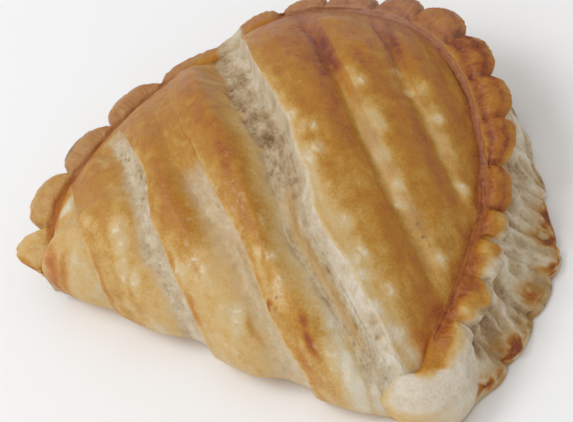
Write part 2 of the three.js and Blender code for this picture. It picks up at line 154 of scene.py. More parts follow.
# Arithmetic shared by all shapes

def smooth(start, end, value):
    """0 before start, 1 after end, eased between."""
    k = np.clip((value - start) / (end - start), 0, 1)
    return k * k * (3 - 2 * k)


def mix(a, b, k):
    return a + (b - a) * k


def bell(value, middle, width):
    return np.exp(-((value - middle) / width) ** 2)


def rising(span, value):
    return smooth(span[0], span[1], value)


def falling(span, value):
    return 1 - smooth(span[0], span[1], value)


def between(spans, value):
    """1 between two ends, eased in over the first span and out over the second."""
    return rising(spans["from"], value) * falling(spans["until"], value)


# Points along each side of a table of random values, and what brings the sums of noises near 1
NOISE_TABLE = 32
ROUGH_SCALE = 1.5
CREASE_SCALE = 1.75


def soft_noise(points, scale, seed):
    """Soft noise between 0 and 1 at points in mm. scale is the size of its lumps in mm."""
    size = NOISE_TABLE
    table = np.random.default_rng(seed).random((size, size, size))
    cell = points / np.asarray(scale, float)
    low = np.floor(cell).astype(int)
    part = cell - low
    part = part * part * (3 - 2 * part)
    total = np.zeros(points.shape[:-1])
    for corner in itertools.product((0, 1), repeat=3):
        index = (low + np.array(corner)) % size
        weight = np.prod(np.where(np.array(corner) == 1, part, 1 - part), axis=-1)
        total += weight * table[index[..., 0], index[..., 1], index[..., 2]]
    return total


def rough(points, scale, seed, octaves=3):
    """Noise of several sizes, between about -1 and 1."""
    scale = np.asarray(scale, float)
    total = np.zeros(points.shape[:-1])
    for octave in range(octaves):
        total += (2 * soft_noise(points, scale / 2 ** octave, seed + octave) - 1) / 2 ** octave
    return total / ROUGH_SCALE


def creases(points, scale, seed, octaves=3):
    """Sharp folds like those of crumpled paper, 1 on their crests and near 0 between them."""
    scale = np.asarray(scale, float)
    total = np.zeros(points.shape[:-1])
    for octave in range(octaves):
        fold = 1 - np.abs(2 * soft_noise(points, scale / 2 ** octave, seed + octave) - 1) * 2
        total += np.clip(fold, -0.6, 1) / 2 ** octave
    return np.clip(total / CREASE_SCALE, 0, 1)


def cells(points, scale, seed):
    """Distance to the nearest of many scattered points, as a share of the scale."""
    size = NOISE_TABLE
    jitter = np.random.default_rng(seed).random((size, size, size, 3))
    cell = points / np.asarray(scale, float)
    low = np.floor(cell).astype(int)
    nearest = np.full(points.shape[:-1], 9.0)
    for offset in itertools.product((-1, 0, 1), repeat=3):
        index = low + np.array(offset)
        wrapped = index % size
        spot = index + jitter[wrapped[..., 0], wrapped[..., 1], wrapped[..., 2]]
        nearest = np.minimum(nearest, np.linalg.norm(spot - cell, axis=-1))
    return nearest


def noises(points, table):
    """The noises of a table at the points, each under its name."""
    return SimpleNamespace(**{name: rough(points, *settings) for name, settings in table.items()})


def uneven(noise, weights):
    """The sum of several noises, each by its weight."""
    return sum(weight * getattr(noise, name) for name, weight in weights.items())


# The seam

def seam_points(share):
    angle = math.pi * (1 - share)
    c = np.cos(angle)
    s = np.maximum(0, np.sin(angle))
    x = HALF_CHORD * np.sign(c) * np.abs(c) ** (2 / SEAM_POWER)
    corner = LEFT_CORNER["shift"] * (1 - smooth(0, LEFT_CORNER["until"], share))
    rise = smooth(SHOULDER["from"], SHOULDER["full"], share)
    fall = smooth(SHOULDER["hold"], SHOULDER["until"], share)
    return x + corner - SHOULDER["shift"] * rise * (1 - fall), SEAM_DEPTH * s ** (2 / SEAM_POWER)


SEAM_X, SEAM_Y = seam_points(np.linspace(0, 1, 4001))
SEAM_STEPS = np.hypot(np.diff(SEAM_X), np.diff(SEAM_Y))
SEAM_LENGTHS = np.concatenate([[0], np.cumsum(SEAM_STEPS)])
SEAM_LENGTH = SEAM_LENGTHS[-1]


def seam_at(length):
    """Point of the seam and the way out from it, as arrays of x and y."""
    index = np.clip(np.searchsorted(SEAM_LENGTHS, length, side="right") - 1, 0, len(SEAM_STEPS) - 1)
    k = (length - SEAM_LENGTHS[index]) / SEAM_STEPS[index]
    run_x = SEAM_X[index + 1] - SEAM_X[index]
    run_y = SEAM_Y[index + 1] - SEAM_Y[index]
    x = SEAM_X[index] + run_x * k
    y = SEAM_Y[index] + run_y * k
    return x, y, -run_y / SEAM_STEPS[index], run_x / SEAM_STEPS[index]


SEAM_ACROSS = SEAM_X * ACROSS[0] + SEAM_Y * ACROSS[1]
END_MARGIN = 0.4
FIRST_EDGE = SEAM_ACROSS.min() + END_MARGIN
LAST_EDGE = SEAM_ACROSS.max() - END_MARGIN


def rim_at(length):
    """The rim's measures at lengths along the seam."""
    at, *measures = np.array(RIM_STATIONS, float).T
    index = np.clip(np.searchsorted(at, length, side="left") - 1, 0, len(at) - 2)
    k = smooth(at[index], at[index + 1], length)
    return {name: mix(values[index], values[index + 1], k) for name, values in zip(RIM_MEASURES, measures)}


# The dome

RIM_RAYS = 360
FOLD_RAYS = 240


def fold_line():
    """Points of the fold from the right corner to the left: x, y, height and how far on the fold."""
    share = np.arange(1, FOLD_RAYS) / FOLD_RAYS
    x = mix(HALF_CHORD, LEFT_CORNER["shift"] - HALF_CHORD, share)
    ends = np.sqrt(1 - np.abs(1 - 2 * share) ** FOLD_SQUARENESS)
    lean = smooth(FOLD_BULGE["from"], FOLD_BULGE["until"], x)
    bulge = mix(FOLD_BULGE["left"], FOLD_BULGE["right"], lean) * ends
    on_fold = smooth(0, FOLD_START, ends)
    left_height, right_height = rim_at(np.array([0, SEAM_LENGTH]))["height"]
    corner_height = np.where(x < 0, left_height, right_height)
    return x, -bulge, mix(corner_height, FOLD_BULGE_HEIGHT, on_fold), on_fold


def near_weights(turn, ease):
    """How much each ray counts for each other one, less the further it turns away."""
    weights = np.maximum(0, 1 - turn / ease)
    return weights / weights.sum(axis=1, keepdims=True)


def dome_outline():
    """Reach, edge height and share of fold of the dome's outline, by the angle round its centre."""
    length = SEAM_LENGTH * np.arange(RIM_RAYS + 1) / RIM_RAYS
    seam_x, seam_y, _, _ = seam_at(length)
    seam_line = seam_x, seam_y, rim_at(length)["height"], np.zeros(RIM_RAYS + 1)
    x, y, height, fold = (np.concatenate(pair) for pair in zip(seam_line, fold_line()))
    x, y = x - CENTRE[0], y - CENTRE[1]
    angle = np.arctan2(y, x)
    order = np.argsort(angle)
    angle, reach, height, fold = (value[order] for value in (angle, np.hypot(x, y), height, fold))
    apart = np.abs(angle[:, None] - angle[None, :])
    turn = np.minimum(apart, 2 * math.pi - apart)
    near = near_weights(turn, CORNER_EASE)
    return {
        "angle": angle,
        "reach": reach,
        "soft": near_weights(turn, DOME_EASE) @ reach,
        "height": near @ height,
        "fold": near @ fold,
    }


OUTLINE = dome_outline()


def outline_at(x, y):
    angle = np.arctan2(y - CENTRE[1], x - CENTRE[0])
    around = 2 * math.pi
    return {name: np.interp(angle, OUTLINE["angle"], OUTLINE[name], period=around)
            for name in ("reach", "soft", "height", "fold")}


def place_of(x, y):
    """How far out a plan point lies, 0 at the centre and 1 on the outline, and the outline there."""
    edge = outline_at(x, y)
    distance = np.hypot(x - CENTRE[0], y - CENTRE[1])
    sharp = np.minimum(1, distance / edge["reach"])
    soft = np.minimum(1, distance / edge["soft"])
    return mix(soft, sharp, smooth(SOFT_INSIDE, SHARP_OUTSIDE, sharp)), edge


def top_height(x, y):
    out, edge = place_of(x, y)
    roundness = mix(SEAM_SLOPE, FOLD_ROUND, edge["fold"])
    return edge["height"] + (DOME_HEIGHT - edge["height"]) * (1 - out ** DOME_FULLNESS) ** roundness


def roll_under(x, edge):
    front = mix(FOLD_ROLL["left"], FOLD_ROLL["right"], smooth(FOLD_ROLL["from"], FOLD_ROLL["until"], x))
    at_corner = smooth(RIM_ROLL["from"], RIM_ROLL["until"], x)
    return mix(RIM_ROLL["distance"], mix(front, RIM_ROLL["distance"], at_corner), edge["fold"])


def under_height(x, y):
    edge = outline_at(x, y)
    inside = edge["reach"] - np.hypot(x - CENTRE[0], y - CENTRE[1])
    tuck = np.clip(inside / roll_under(x, edge), 0, 1)
    return edge["height"] * (1 - np.sqrt(1 - (1 - tuck) ** 2))


def by_station(stations, at):
    """Values given at places along a run, eased from one to the next."""
    places = np.array([place for place, _ in stations], float)
    values = np.array([value for _, value in stations], float)
    index = np.clip(np.searchsorted(places, at, side="left") - 1, 0, len(places) - 2)
    return mix(values[index], values[index + 1], smooth(places[index], places[index + 1], at))


# How the crisp edges waver: by how much, the length of a waver in mm, seed and octaves
WAVERS = [(0.45, 8, 40, 3), (0.14, 2.4, 60, 2)]
WAVER_REACH = 4
RUNS_APART = 7.3


def edge_waver(across_at, along_at):
    """The crisp edges aren't straight: each wavers by a fraction of a millimetre along its run."""
    shift = np.zeros(np.broadcast(across_at, along_at).shape)
    for number, slash in enumerate(SLASHES):
        crisp = slash["edge"] - (slash["gap"] if slash["steep_left"] else 0)
        run = np.stack(np.broadcast_arrays(along_at, RUNS_APART * number, 0.0), axis=-1)
        waver = sum(most * rough(run, size, seed + number, octaves) for most, size, seed, octaves in WAVERS)
        shift = shift + waver * bell(across_at, crisp, WAVER_REACH)
    return shift


def shift_at(across_at, along_at):
    """Both sides of a gap sway alike, and a band's shift runs evenly from one gap to the next."""
    at_before, shift_before = FIRST_EDGE, 0
    total = 0
    for slash, sway in zip(SLASHES, SWAYS):
        start = slash["edge"] - slash["gap"]
        shift = by_station(sway, along_at)
        on_band = mix(shift_before, shift, (across_at - at_before) / (start - at_before))
        here = np.where(across_at <= start, on_band, shift)
        total = np.where(across_at > at_before, here, total) if at_before != FIRST_EDGE else here
        at_before, shift_before = slash["edge"], shift
    after = shift_before * (LAST_EDGE - across_at) / (LAST_EDGE - at_before)
    return np.where(across_at > at_before, after, total)


def plan_point(across_at, along_at):
    out = across_at + shift_at(across_at, along_at) + edge_waver(across_at, along_at)
    return out * ACROSS[0] + along_at * ALONG[0], out * ACROSS[1] + along_at * ALONG[1]


def out_share(across_at, along_at):
    x, y = plan_point(across_at, along_at)
    edge = outline_at(x, y)
    return np.hypot(x - CENTRE[0], y - CENTRE[1]) / edge["reach"]


FAR_OUTSIDE = 160
HALVINGS = 30


def reaches_along(across_at):
    """Where the line at each place across the bands enters and leaves the dome."""
    tries = np.arange(-HALF_CHORD, SEAM_DEPTH, 1.0)
    start = tries[np.argmin(out_share(across_at[:, None], tries[None, :]), axis=1)]
    ends = []
    for side in (-1, 1):
        inside = start.copy()
        outside = start + side * FAR_OUTSIDE
        for _ in range(HALVINGS):
            middle = (inside + outside) / 2
            within = out_share(across_at, middle) < 1
            inside = np.where(within, middle, inside)
            outside = np.where(within, outside, middle)
        ends.append(inside)
    return ends


# In place of a slash after the last band
NO_SLASH = {
    "edge": LAST_EDGE + 9, "gap": 9, "wall": 1, "depth": 0, "front": 0, "back": 0, "steep_left": False,
}


def bands(across_at):
    """Each place's band, its start and end, and the slash at its end."""
    edges = np.array([slash["edge"] for slash in SLASHES])
    index = np.searchsorted(edges, across_at, side="right")
    starts = np.concatenate([[FIRST_EDGE], edges])
    ends = np.array([slash["edge"] - slash["gap"] for slash in SLASHES] + [LAST_EDGE])
    values = {"index": index, "start": starts[index], "end": ends[index]}
    for name in NO_SLASH:
        values[name] = np.array([slash[name] for slash in SLASHES + [NO_SLASH]], float)[index]
    return values


# The crust is made in two parts, which meet at the foot of the widest gap's wall. Each goes on a
# little way inside the other, and sinks there at its own slope
MEETING = SLASHES[WIDEST]["edge"] - SLASHES[WIDEST]["wall"]
TUCK = {"front_crust": 3.2, "back_crust": 0.9}
TUCK_SLOPE = {"front_crust": 0.5, "back_crust": 3}

# A band slopes down to its gap between these shares of its width
SLOPE_SHARE = (0.5, 1.05)


def crust_rise(across_at, part):
    """Rise of the bands over the plain dome, and the sinking of the gaps."""
    b = bands(across_at)
    f = (across_at - b["start"]) / (b["end"] - b["start"])
    slope = b["depth"] * (1 - b["steep_left"])
    puff = LIP_RISE * (1 - smooth(0, 0.5, f)) + BAND_PUFF * np.sin(math.pi * np.clip(f, 0, 1))
    climb = smooth(b["edge"] - b["wall"], b["edge"], across_at)
    soft_climb = smooth(b["end"] + b["wall"], b["edge"], across_at)
    drop = smooth(b["end"], b["end"] + b["wall"], across_at) * (1 - soft_climb)
    in_gap = np.where(b["steep_left"] > 0, drop, 1 - climb)
    raised = np.where(b["steep_left"] > 0, soft_climb, climb)
    sink = -np.where(f <= 1, slope * rising(SLOPE_SHARE, f), b["depth"] * in_gap)
    puff = np.where(f <= 1, puff, LIP_RISE * raised)
    depth = SLASHES[WIDEST]["depth"]
    over = across_at - MEETING
    if part == "front_crust":
        sink = np.where(over > 0, -depth - TUCK_SLOPE[part] * over, sink)
        puff = np.where(over > 0, 0, puff)
    else:
        sink = np.where(over < 0, -depth + TUCK_SLOPE[part] * over, sink)
    return puff, sink


def section_places(part):
    """Places across the bands where the crust has a line of points, closest at the steep walls."""
    band_step, gap_step, wall_step = 0.3, 0.19, 0.11
    places = []
    for index in range(len(SLASHES) + 1):
        start = FIRST_EDGE if index == 0 else SLASHES[index - 1]["edge"]
        if index == len(SLASHES):
            places.append(np.linspace(start, LAST_EDGE, int((LAST_EDGE - start) / band_step)))
            break
        slash = SLASHES[index]
        end = slash["edge"] - slash["gap"]
        foot = end + slash["wall"] if slash["steep_left"] else slash["edge"] - slash["wall"]
        steps = (wall_step, gap_step) if slash["steep_left"] else (gap_step, wall_step)
        for a, b, step in ((start, end, band_step), (end, foot, steps[0]), (foot, slash["edge"], steps[1])):
            places.append(np.linspace(a, b, max(3, int((b - a) / step)), endpoint=False))
    places = np.concatenate(places)
    if part == "front_crust":
        return places[places < MEETING + TUCK[part]]
    return places[places > MEETING - TUCK[part]]


def grid_normals(points, outside):
    """Unit normals of a grid of points, turned to the side that outside points to."""
    normal = np.cross(np.gradient(points, axis=1), np.gradient(points, axis=0))
    normal /= np.maximum(1e-9, np.linalg.norm(normal, axis=-1, keepdims=True))
    side = np.sign(np.sum(normal * outside, axis=-1, keepdims=True))
    return normal * np.where(side == 0, 1, side)


# Points over the crust and under it, how much closer they lie at their ends, and how far its roll
# reaches in under it
TOP_STEPS = 300
UNDER_STEPS = 14
END_CROWDING = 0.6
ROLL_STRETCH = 1.1
LONGEST_ROLL = 0.6
LAST_ROLL_STEP = 0.97
BACK_INSET = {"share": 0.2, "most": 30}
INNER_SHRINK = 0.07


def crust_underside(across_at, first, last, push):
    """Loops from near the back edge, under the crust and round its roll, to the front edge."""
    length = last - first
    start_x, start_y = plan_point(across_at, first)
    roll = roll_under(start_x, outline_at(start_x, start_y)) / math.sin(SLASH_ANGLE) * ROLL_STRETCH
    roll = np.minimum(LONGEST_ROLL * length, roll)
    inset = BACK_INSET["share"] * np.minimum(length, BACK_INSET["most"])
    back_x, back_y = plan_point(across_at, last - inset)
    loops = [np.stack([back_x, back_y, under_height(back_x, back_y)], axis=-1)]
    for k in np.linspace(0, LAST_ROLL_STEP, UNDER_STEPS):
        inward = 1 - math.sin(math.pi / 2 * k)
        x, y = plan_point(across_at, first + roll * inward)
        way = np.stack([x - CENTRE[0], y - CENTRE[1]], axis=-1)
        way /= np.linalg.norm(way, axis=-1, keepdims=True)
        plan = np.stack([x, y], axis=-1) + way * (push * (1 - inward))[:, None]
        loops.append(np.concatenate([plan, under_height(x, y)[:, None]], axis=-1))
    return np.stack(loops, axis=1)


# What the masks are on the underside
UNDERSIDE = {
    "brown": 0.6, "red": 0, "pink_and_sheen": 0, "crumb": 0, "tone": 0.4, "scorch": 0, "shine": 0.05, "painted_glints": 0,
}


def with_underside(masks, count):
    """The masks carried on over the points of the underside."""
    fade = smooth(0, 1, np.linspace(0, 1, count - 1))
    whole = {}
    for name, value in masks.items():
        tail = np.full((len(value), count), float(UNDERSIDE[name]))
        tail[:, 1:] = mix(UNDERSIDE[name], value[:, :1], fade[None, :])
        whole[name] = np.concatenate([value, tail], axis=1)
    return whole


def with_relief(masks, relief):
    """The masks, kept between 0 and 1, and the relief in mm beside them."""
    return {"relief": relief} | {name: np.clip(mask, 0, 1) for name, mask in masks.items()}


def crust_grid(part):
    """The crust as a grid of loops, over the top and back underneath, with what its colour needs."""
    across_at = section_places(part)
    first, last = reaches_along(across_at)
    share = np.linspace(0, 1, TOP_STEPS)
    eased = mix(share, (1 - np.cos(math.pi * share)) / 2, END_CROWDING)
    wide = across_at[:, None] * np.ones(TOP_STEPS)
    along_at = mix(first[:, None], last[:, None], eased[None, :])
    x, y = plan_point(wide, along_at)
    top = np.stack([x, y, top_height(x, y)], axis=-1)
    outside = np.stack([x - CENTRE[0], y - CENTRE[1], np.full(x.shape, DOME_HEIGHT)], axis=-1)
    normal = grid_normals(top, outside)
    out, edge = place_of(x, y)
    b = bands(across_at)
    kept = np.where(share < 0.5, b["front"][:, None], b["back"][:, None])
    held = mix(1, kept, rising(RUN_OUT, out))
    opened = opening(b["index"], along_at)
    puff, sink = crust_rise(across_at, part)
    rise = (puff[:, None] + sink[:, None] * opened) * held
    at = crust_places(wide, along_at, top, out, edge["fold"], b)
    masks = crust_masks(at, held, opened)
    top = top + normal * (rise + masks.pop("relief"))[..., None]
    under = crust_underside(across_at, first, last, (puff + sink) * b["front"])
    points = np.concatenate([top, under], axis=1)
    return tucked_in(points, across_at, part), with_underside(masks, under.shape[1])


def tucked_in(points, across_at, part):
    """Where a part of the crust goes on inside the other, its loops shrink a little."""
    over = across_at - MEETING if part == "front_crust" else MEETING - across_at
    shrink = INNER_SHRINK * smooth(0.2, TUCK[part], over)
    middle = points.mean(axis=1, keepdims=True)
    return points + (middle - points) * shrink[:, None, None]


# How far the slashes that close along their run are open, by the place along it
OPENINGS = {
    1: [(40, 1), (66, 0.55)],
    2: [(2, 1), (16, 0.85), (32, 0.2), (60, 0.06)],
    4: [(20, 1), (46, 0.7), (64, 0.5)],
    5: [(10, 1), (44, 0.7), (60, 0.5)],
}


def opening(index, along_at):
    """How far each slash is open along its run, from 0 to 1."""
    opened = np.ones(along_at.shape)
    for number, stations in OPENINGS.items():
        opened = np.where(index[:, None] == number, by_station(stations, along_at), opened)
    return opened


# How brown each band is at its left side, middle and right side, by the place along the bands
BAKED_AT = (-18, 28, 60)
BAND_BAKES = [
    [(0.28, 0.30, 0.36), (0.40, 0.36, 0.40), (0.62, 0.46, 0.46)],
    [(0.38, 0.35, 0.36), (0.47, 0.60, 0.54), (0.76, 0.72, 0.58)],
    [(0.36, 0.48, 0.46), (0.57, 0.73, 0.58), (0.72, 0.71, 0.70)],
    [(0.56, 0.60, 0.15), (0.58, 0.80, 0.27), (0.72, 0.76, 0.60)],
    [(0.28, 0.58, 0.72), (0.42, 0.71, 0.76), (0.66, 0.79, 0.86)],
    [(0.54, 0.66, 0.72), (0.60, 0.79, 0.78), (0.78, 0.78, 0.70)],
    [(0.62, 0.72, 0.74), (0.68, 0.74, 0.74), (0.74, 0.74, 0.74)],
]

# Marks on the crust: place across and along the bands, half widths that way, and strength
BROWN_MARKS = [
    (14.8, -19.8, 1.0, 0.9, 0.5),
    (16.2, -21.4, 0.9, 0.7, 0.3),
    (20.5, -28.3, 0.9, 2.0, 0.32),
    (19.4, -32.0, 0.9, 2.6, 0.3),
    (22.6, -31.2, 0.8, 1.7, 0.2),
    (15.8, -31.5, 1.4, 3.4, 0.18),
    (-2.4, 6.0, 0.8, 6.0, 0.2),
    (-2.2, -3.0, 1.0, 3.0, 0.26),
    (2.4, 1.0, 0.7, 3.5, 0.14),
    (-33.4, 38.4, 3.2, 3.0, 0.34),
    (-31.0, 35.4, 2.8, 1.8, 0.34),
    (-21.4, 24.0, 0.8, 5.0, 0.2),
    (-19.2, 18.6, 1.3, 2.6, 0.18),
    (25.6, -41.5, 0.8, 5.0, 0.3),
    (26.4, -36.0, 0.7, 3.5, 0.2),
    (6.4, -17.5, 0.6, 3.2, 0.3),
    (49.2, 30.0, 1.6, 16.0, 0.1),
    (52.5, 44.0, 1.5, 12.0, 0.22),
    (68.0, 42.0, 1.4, 9.0, 0.2),
    (64.4, 6.0, 1.8, 12.0, 0.07),
    (48.4, 22.0, 1.2, 4.0, 0.08),
]
RED_MARKS = [
    (14.8, -19.8, 0.9, 0.8, 0.5),
    (20.3, -28.6, 0.8, 1.6, 0.8),
    (19.2, -32.2, 0.8, 2.2, 0.7),
    (15.6, -32.0, 1.3, 3.4, 0.45),
    (-2.3, -3.0, 0.9, 2.6, 0.5),
    (-2.4, 6.0, 0.7, 5.0, 0.3),
    (2.4, 1.0, 0.7, 3.0, 0.3),
    (-33.6, 38.8, 3.0, 3.0, 0.9),
    (-31.0, 35.4, 2.6, 1.8, 0.5),
    (-21.4, 24.0, 0.8, 5.0, 0.35),
    (46.8, -37.4, 3.0, 5.0, 0.4),
    (42.6, -41.2, 3.0, 3.0, 0.6),
    (52.5, 44.0, 1.6, 12.0, 0.45),
    (48.0, 22.0, 1.4, 4.0, 0.5),
    (68.0, 42.0, 1.4, 9.0, 0.35),
]
PALE_MARKS = [
    (54.8, 27.0, 2.0, 4.2, 0.26),
    (56.4, 13.0, 2.6, 4.4, 0.32),
    (54.8, 2.4, 2.0, 3.2, 0.24),
    (54.0, -6.4, 1.6, 4.6, 0.26),
    (53.4, -25.6, 1.7, 3.6, 0.28),
    (69.0, 19.2, 2.2, 3.6, 0.26),
    (69.0, 10.4, 2.2, 3.4, 0.28),
    (68.6, 3.0, 2.0, 3.4, 0.3),
    (68.0, -8.0, 1.1, 1.6, 0.3),
    (39.6, -43.2, 2.2, 2.2, 0.22),
    (37.6, -38.0, 2.0, 5.0, 0.16),
    (-27.6, 51.4, 2.0, 1.6, 0.3),
    (37.2, 2.0, 1.6, 6.0, 0.2),
    (38.2, -8.0, 1.6, 8.0, 0.12),
    (16.4, -12.0, 1.6, 5.0, 0.14),
    (21.0, -43.0, 3.0, 3.6, 0.2),
    (10.0, 8.0, 2.0, 9.0, 0.12),
    (4.0, -9.0, 2.4, 7.0, 0.1),
    (-13.0, 8.0, 3.0, 8.0, 0.1),
    (-12.8, 34.0, 1.6, 9.0, 0.12),
]
SCORCH_MARKS = [
    (17.5, -20.4, 0.24, 0.24, 1.0),
    (53.9, -16.6, 0.28, 0.28, 0.9),
    (53.7, -19.7, 0.34, 0.30, 0.9),
    (48.2, -37.6, 0.40, 0.35, 0.7),
    (24.1, 52.3, 0.30, 0.25, 0.8),
]

# Clusters of small wrinkles and blisters in the glaze, where pale specks are painted as painted glints: place
# and half width
GLAZE_BLISTERS = [
    (-13.9, 24.7, 1.5), (-13.6, 22.3, 1.2), (-14.5, 19.1, 1.1), (-15.4, 17.4, 0.8), (-13.6, 14.7, 1.0),
    (2.1, 2.1, 1.6), (2.5, -1.2, 1.6), (-1.6, 3.9, 1.2), (4.9, -13.8, 1.2), (19.6, -19.1, 1.5),
    (22.3, -37.4, 1.5), (23.8, -41.7, 1.6), (39.2, 16.5, 1.3), (41.3, 16.0, 1.3), (38.2, 6.8, 1.3),
    (40.7, 8.3, 1.6), (37.0, 22.0, 1.1), (40.4, -13.0, 1.1), (39.8, -21.2, 1.4), (38.0, -22.2, 1.2),
    (38.3, -26.0, 1.1), (40.7, -31.0, 1.3), (38.6, -40.0, 1.2), (39.7, -44.8, 1.1), (53.4, 2.0, 1.3),
    (53.8, -6.9, 1.0), (52.8, -10.9, 0.9), (70.2, 10.2, 1.0), (67.0, 19.8, 0.8), (68.2, -8.0, 0.8),
    (46.7, -39.0, 0.9), (-24.9, 51.3, 1.2), (-27.0, 52.0, 1.0), (66.0, 27.0, 1.2), (36.9, -34.0, 0.9),
    (-31.4, 49.0, 1.4), (-10.6, 0.4, 1.3), (-3.2, -10.0, 1.2),
    (20.4, -12.4, 1.2), (17.6, -9.0, 1.0), (25.2, -33.0, 1.1), (57.0, 25.2, 1.4), (57.2, 9.4, 1.4),
    (55.0, -25.0, 1.1),
]

# Pits in the open crumb, sunk and painted darker as painted shade, and brown folds
CRUMB_PITS = [
    (33.1, 57.8, 1.3, 1.0, 0.4), (31.6, 54.0, 1.0, 1.4, 0.2), (28.2, 33.4, 1.5, 4.0, 0.22),
    (27.0, 42.0, 1.0, 3.4, 0.16), (29.0, 24.0, 1.6, 3.0, 0.2), (28.2, 14.0, 1.6, 3.0, 0.14),
    (32.6, 6.4, 2.4, 1.1, 0.32), (30.6, 2.6, 2.6, 2.4, 0.26), (30.3, -4.0, 0.8, 4.5, 0.36),
    (30.6, -12.4, 0.8, 4.6, 0.34), (31.6, -20.6, 1.4, 1.8, 0.4), (27.6, -9.0, 1.0, 4.0, 0.22),
    (28.0, -19.0, 1.0, 3.6, 0.2), (35.0, -36.6, 0.8, 1.5, 0.42), (35.1, -39.2, 0.8, 1.2, 0.38),
    (35.1, -41.6, 0.7, 1.1, 0.32), (31.0, -34.0, 0.7, 4.0, 0.16), (-5.4, 40.0, 1.1, 1.2, 0.3),
    (-5.0, 35.0, 1.0, 1.4, 0.34), (-5.6, 29.0, 1.0, 1.8, 0.26), (-5.0, 23.0, 0.9, 1.4, 0.2),
    (10.6, -6.0, 0.8, 4.0, 0.2), (10.4, -14.0, 0.8, 4.0, 0.26),
]

# Where the white wall of the widest gap begins, as a share of the gap, by the place along it
WHITE_FROM = [
    (-48, 0.55), (-44, 0.6), (-34, 0.62), (-22, 0.7), (-12, 0.68), (0, 0.8), (7, 0.86), (16, 0.74),
    (33, 0.7), (46, 0.58), (60, 0.54), (77, 0.46),
]

# Where the narrow slashes on the right show a little open dough
SOFT_STRIPS = [(54.0, 6.0, 1.5, 11.0, 0.46), (53.8, -12.0, 1.2, 8.0, 0.3), (68.6, 6.0, 1.0, 9.0, 0.2)]

# Pale flour left on the front of the fold
FLOUR_MARKS = [(26.0, -46.6, 2.6, 1.3, 0.85), (30.4, -47.6, 1.6, 0.8, 0.5), (8.0, -38.5, 1.6, 0.6, 0.3)]

# Noises over the crust: size of the lumps across the bands, along them and up in mm, seed, octaves
CRUST_NOISES = {
    "sideways": (3.5, 91, 3),
    "lengthways": (3.5, 95, 3),
    "streaks": ((2.0, 12, 11), 3, 3),
    "patches": ((7, 11, 10), 11, 3),
    "blotches": ((2.6, 4.2, 4), 15, 3),
    "clouds": ((3.4, 5.2, 5), 17, 2),
    "grain": (1.1, 19, 3),
    "small_lumps": ((1.2, 1.8, 1.5), 29, 2),
    "large_lumps": ((2.6, 3.6, 3), 31, 2),
    "airy": (4, 99, 3),
    "dots": ((1.2, 1.6, 1.6), 105, 2),
    "swells": ((5, 8, 7), 23, 3),
    "ripples": ((2.2, 4.6, 4), 27, 3),
    "skin": ((1.2, 2.6, 2.2), 107, 2),
}

# How much each noise adds to a value
BROWN_NOISE = {"streaks": 0.07, "patches": 0.07, "blotches": 0.06, "grain": 0.03}
CRUMB_EDGE_NOISE = {"blotches": 0.08, "streaks": 0.05, "grain": 0.03}
TONE_NOISE = {"patches": 0.08, "blotches": 0.1, "grain": 0.08}
RELIEF_NOISE = {"swells": 0.3, "ripples": 0.17, "grain": 0.03}

# Between which places things fade in or out on the crust, in mm or as a share
RIGHT_BANDS = (24, 40)
FAR_RIGHT = (46, 60)
GAP_BACK = {"across": (22, 30), "along": (54, 64)}
DARK_PATCH = {"across": (36.5, 42.5), "along": (-35, -28)}
CORNER_DOUGH = {"out": (0.94, 0.985), "along": (-48.5, -45.5), "across": (34, 37), "band": 4}
# A thin sheet of dough near the right side of the third slash's gap, painted lighter: partly its paler dough
# and partly a painted highlight
FILM_GLINT = {"slash": 2, "at": 0.9, "width": 0.06, "from": (-34, -26), "until": (-12, -4)}
TOASTED = {"from": (-45, -36), "until": (0, 9), "at": 0.36, "width": 0.2}
LIP_WIDTH = 0.5


def marked(across_at, along_at, marks):
    """The strongest of a list of soft marks at each point."""
    total = np.zeros(across_at.shape)
    for across_mark, along_mark, half_across, half_along, strength in marks:
        away = ((across_at - across_mark) / half_across) ** 2 + ((along_at - along_mark) / half_along) ** 2
        total = np.maximum(total, strength * np.exp(-away))
    return total


def baked_brown(index, across_share, along_at):
    """How brown the bands are: each is given at three places across it and three along it."""
    low, middle, high = BAKED_AT
    total = np.zeros(along_at.shape)
    near = 1 - smooth(low, middle, along_at)
    far = smooth(middle, high, along_at)
    bakes = np.array(BAND_BAKES)[index]
    for part, weight in enumerate((near, 1 - near - far, far)):
        left, centre, right = (bakes[:, part, side][:, None] for side in range(3))
        across = mix(mix(left, centre, smooth(0, 0.5, across_share)), right, smooth(0.5, 1, across_share))
        total = total + across * weight
    return total


def blistered(across_at, along_at, spread):
    """How near each point is to a cluster of blisters in the glaze, from 0 to 1."""
    total = np.zeros(across_at.shape)
    for across_mark, along_mark, half in GLAZE_BLISTERS:
        away = np.hypot(across_at - across_mark, (along_at - along_mark) * 0.8) / (half * spread)
        total = np.maximum(total, 1 - smooth(0.4, 1.2, away))
    return total


def crust_places(across_at, along_at, base, out, fold, b):
    """Where each point lies on its band and in its gap, with the noises there.

    u and v are the same places as across and along, shifted a little so that marks have uneven edges.
    """
    at = SimpleNamespace(across=across_at, along=along_at, up=base[..., 2], out=out, fold=fold)
    for name, value in b.items():
        setattr(at, name, np.asarray(value, float)[:, None])
    at.band = b["index"]
    at.place = np.stack([across_at, along_at, at.up], axis=-1)
    at.noise = noises(at.place, CRUST_NOISES)
    at.u = across_at + 0.7 * at.noise.sideways
    at.v = along_at + 1.0 * at.noise.lengthways
    at.band_share = (across_at - at.start) / (at.end - at.start)
    at.gap_share = (across_at - at.end) / at.gap
    at.on_right = rising(RIGHT_BANDS, across_at)
    at.second, at.third, at.widest = at.index == 1, at.index == 2, at.index == WIDEST
    has_lip = np.array([0] + [1 - slash["steep_left"] for slash in SLASHES])[at.band][:, None]
    at.lip = has_lip * opening(at.band - 1, along_at)
    return at


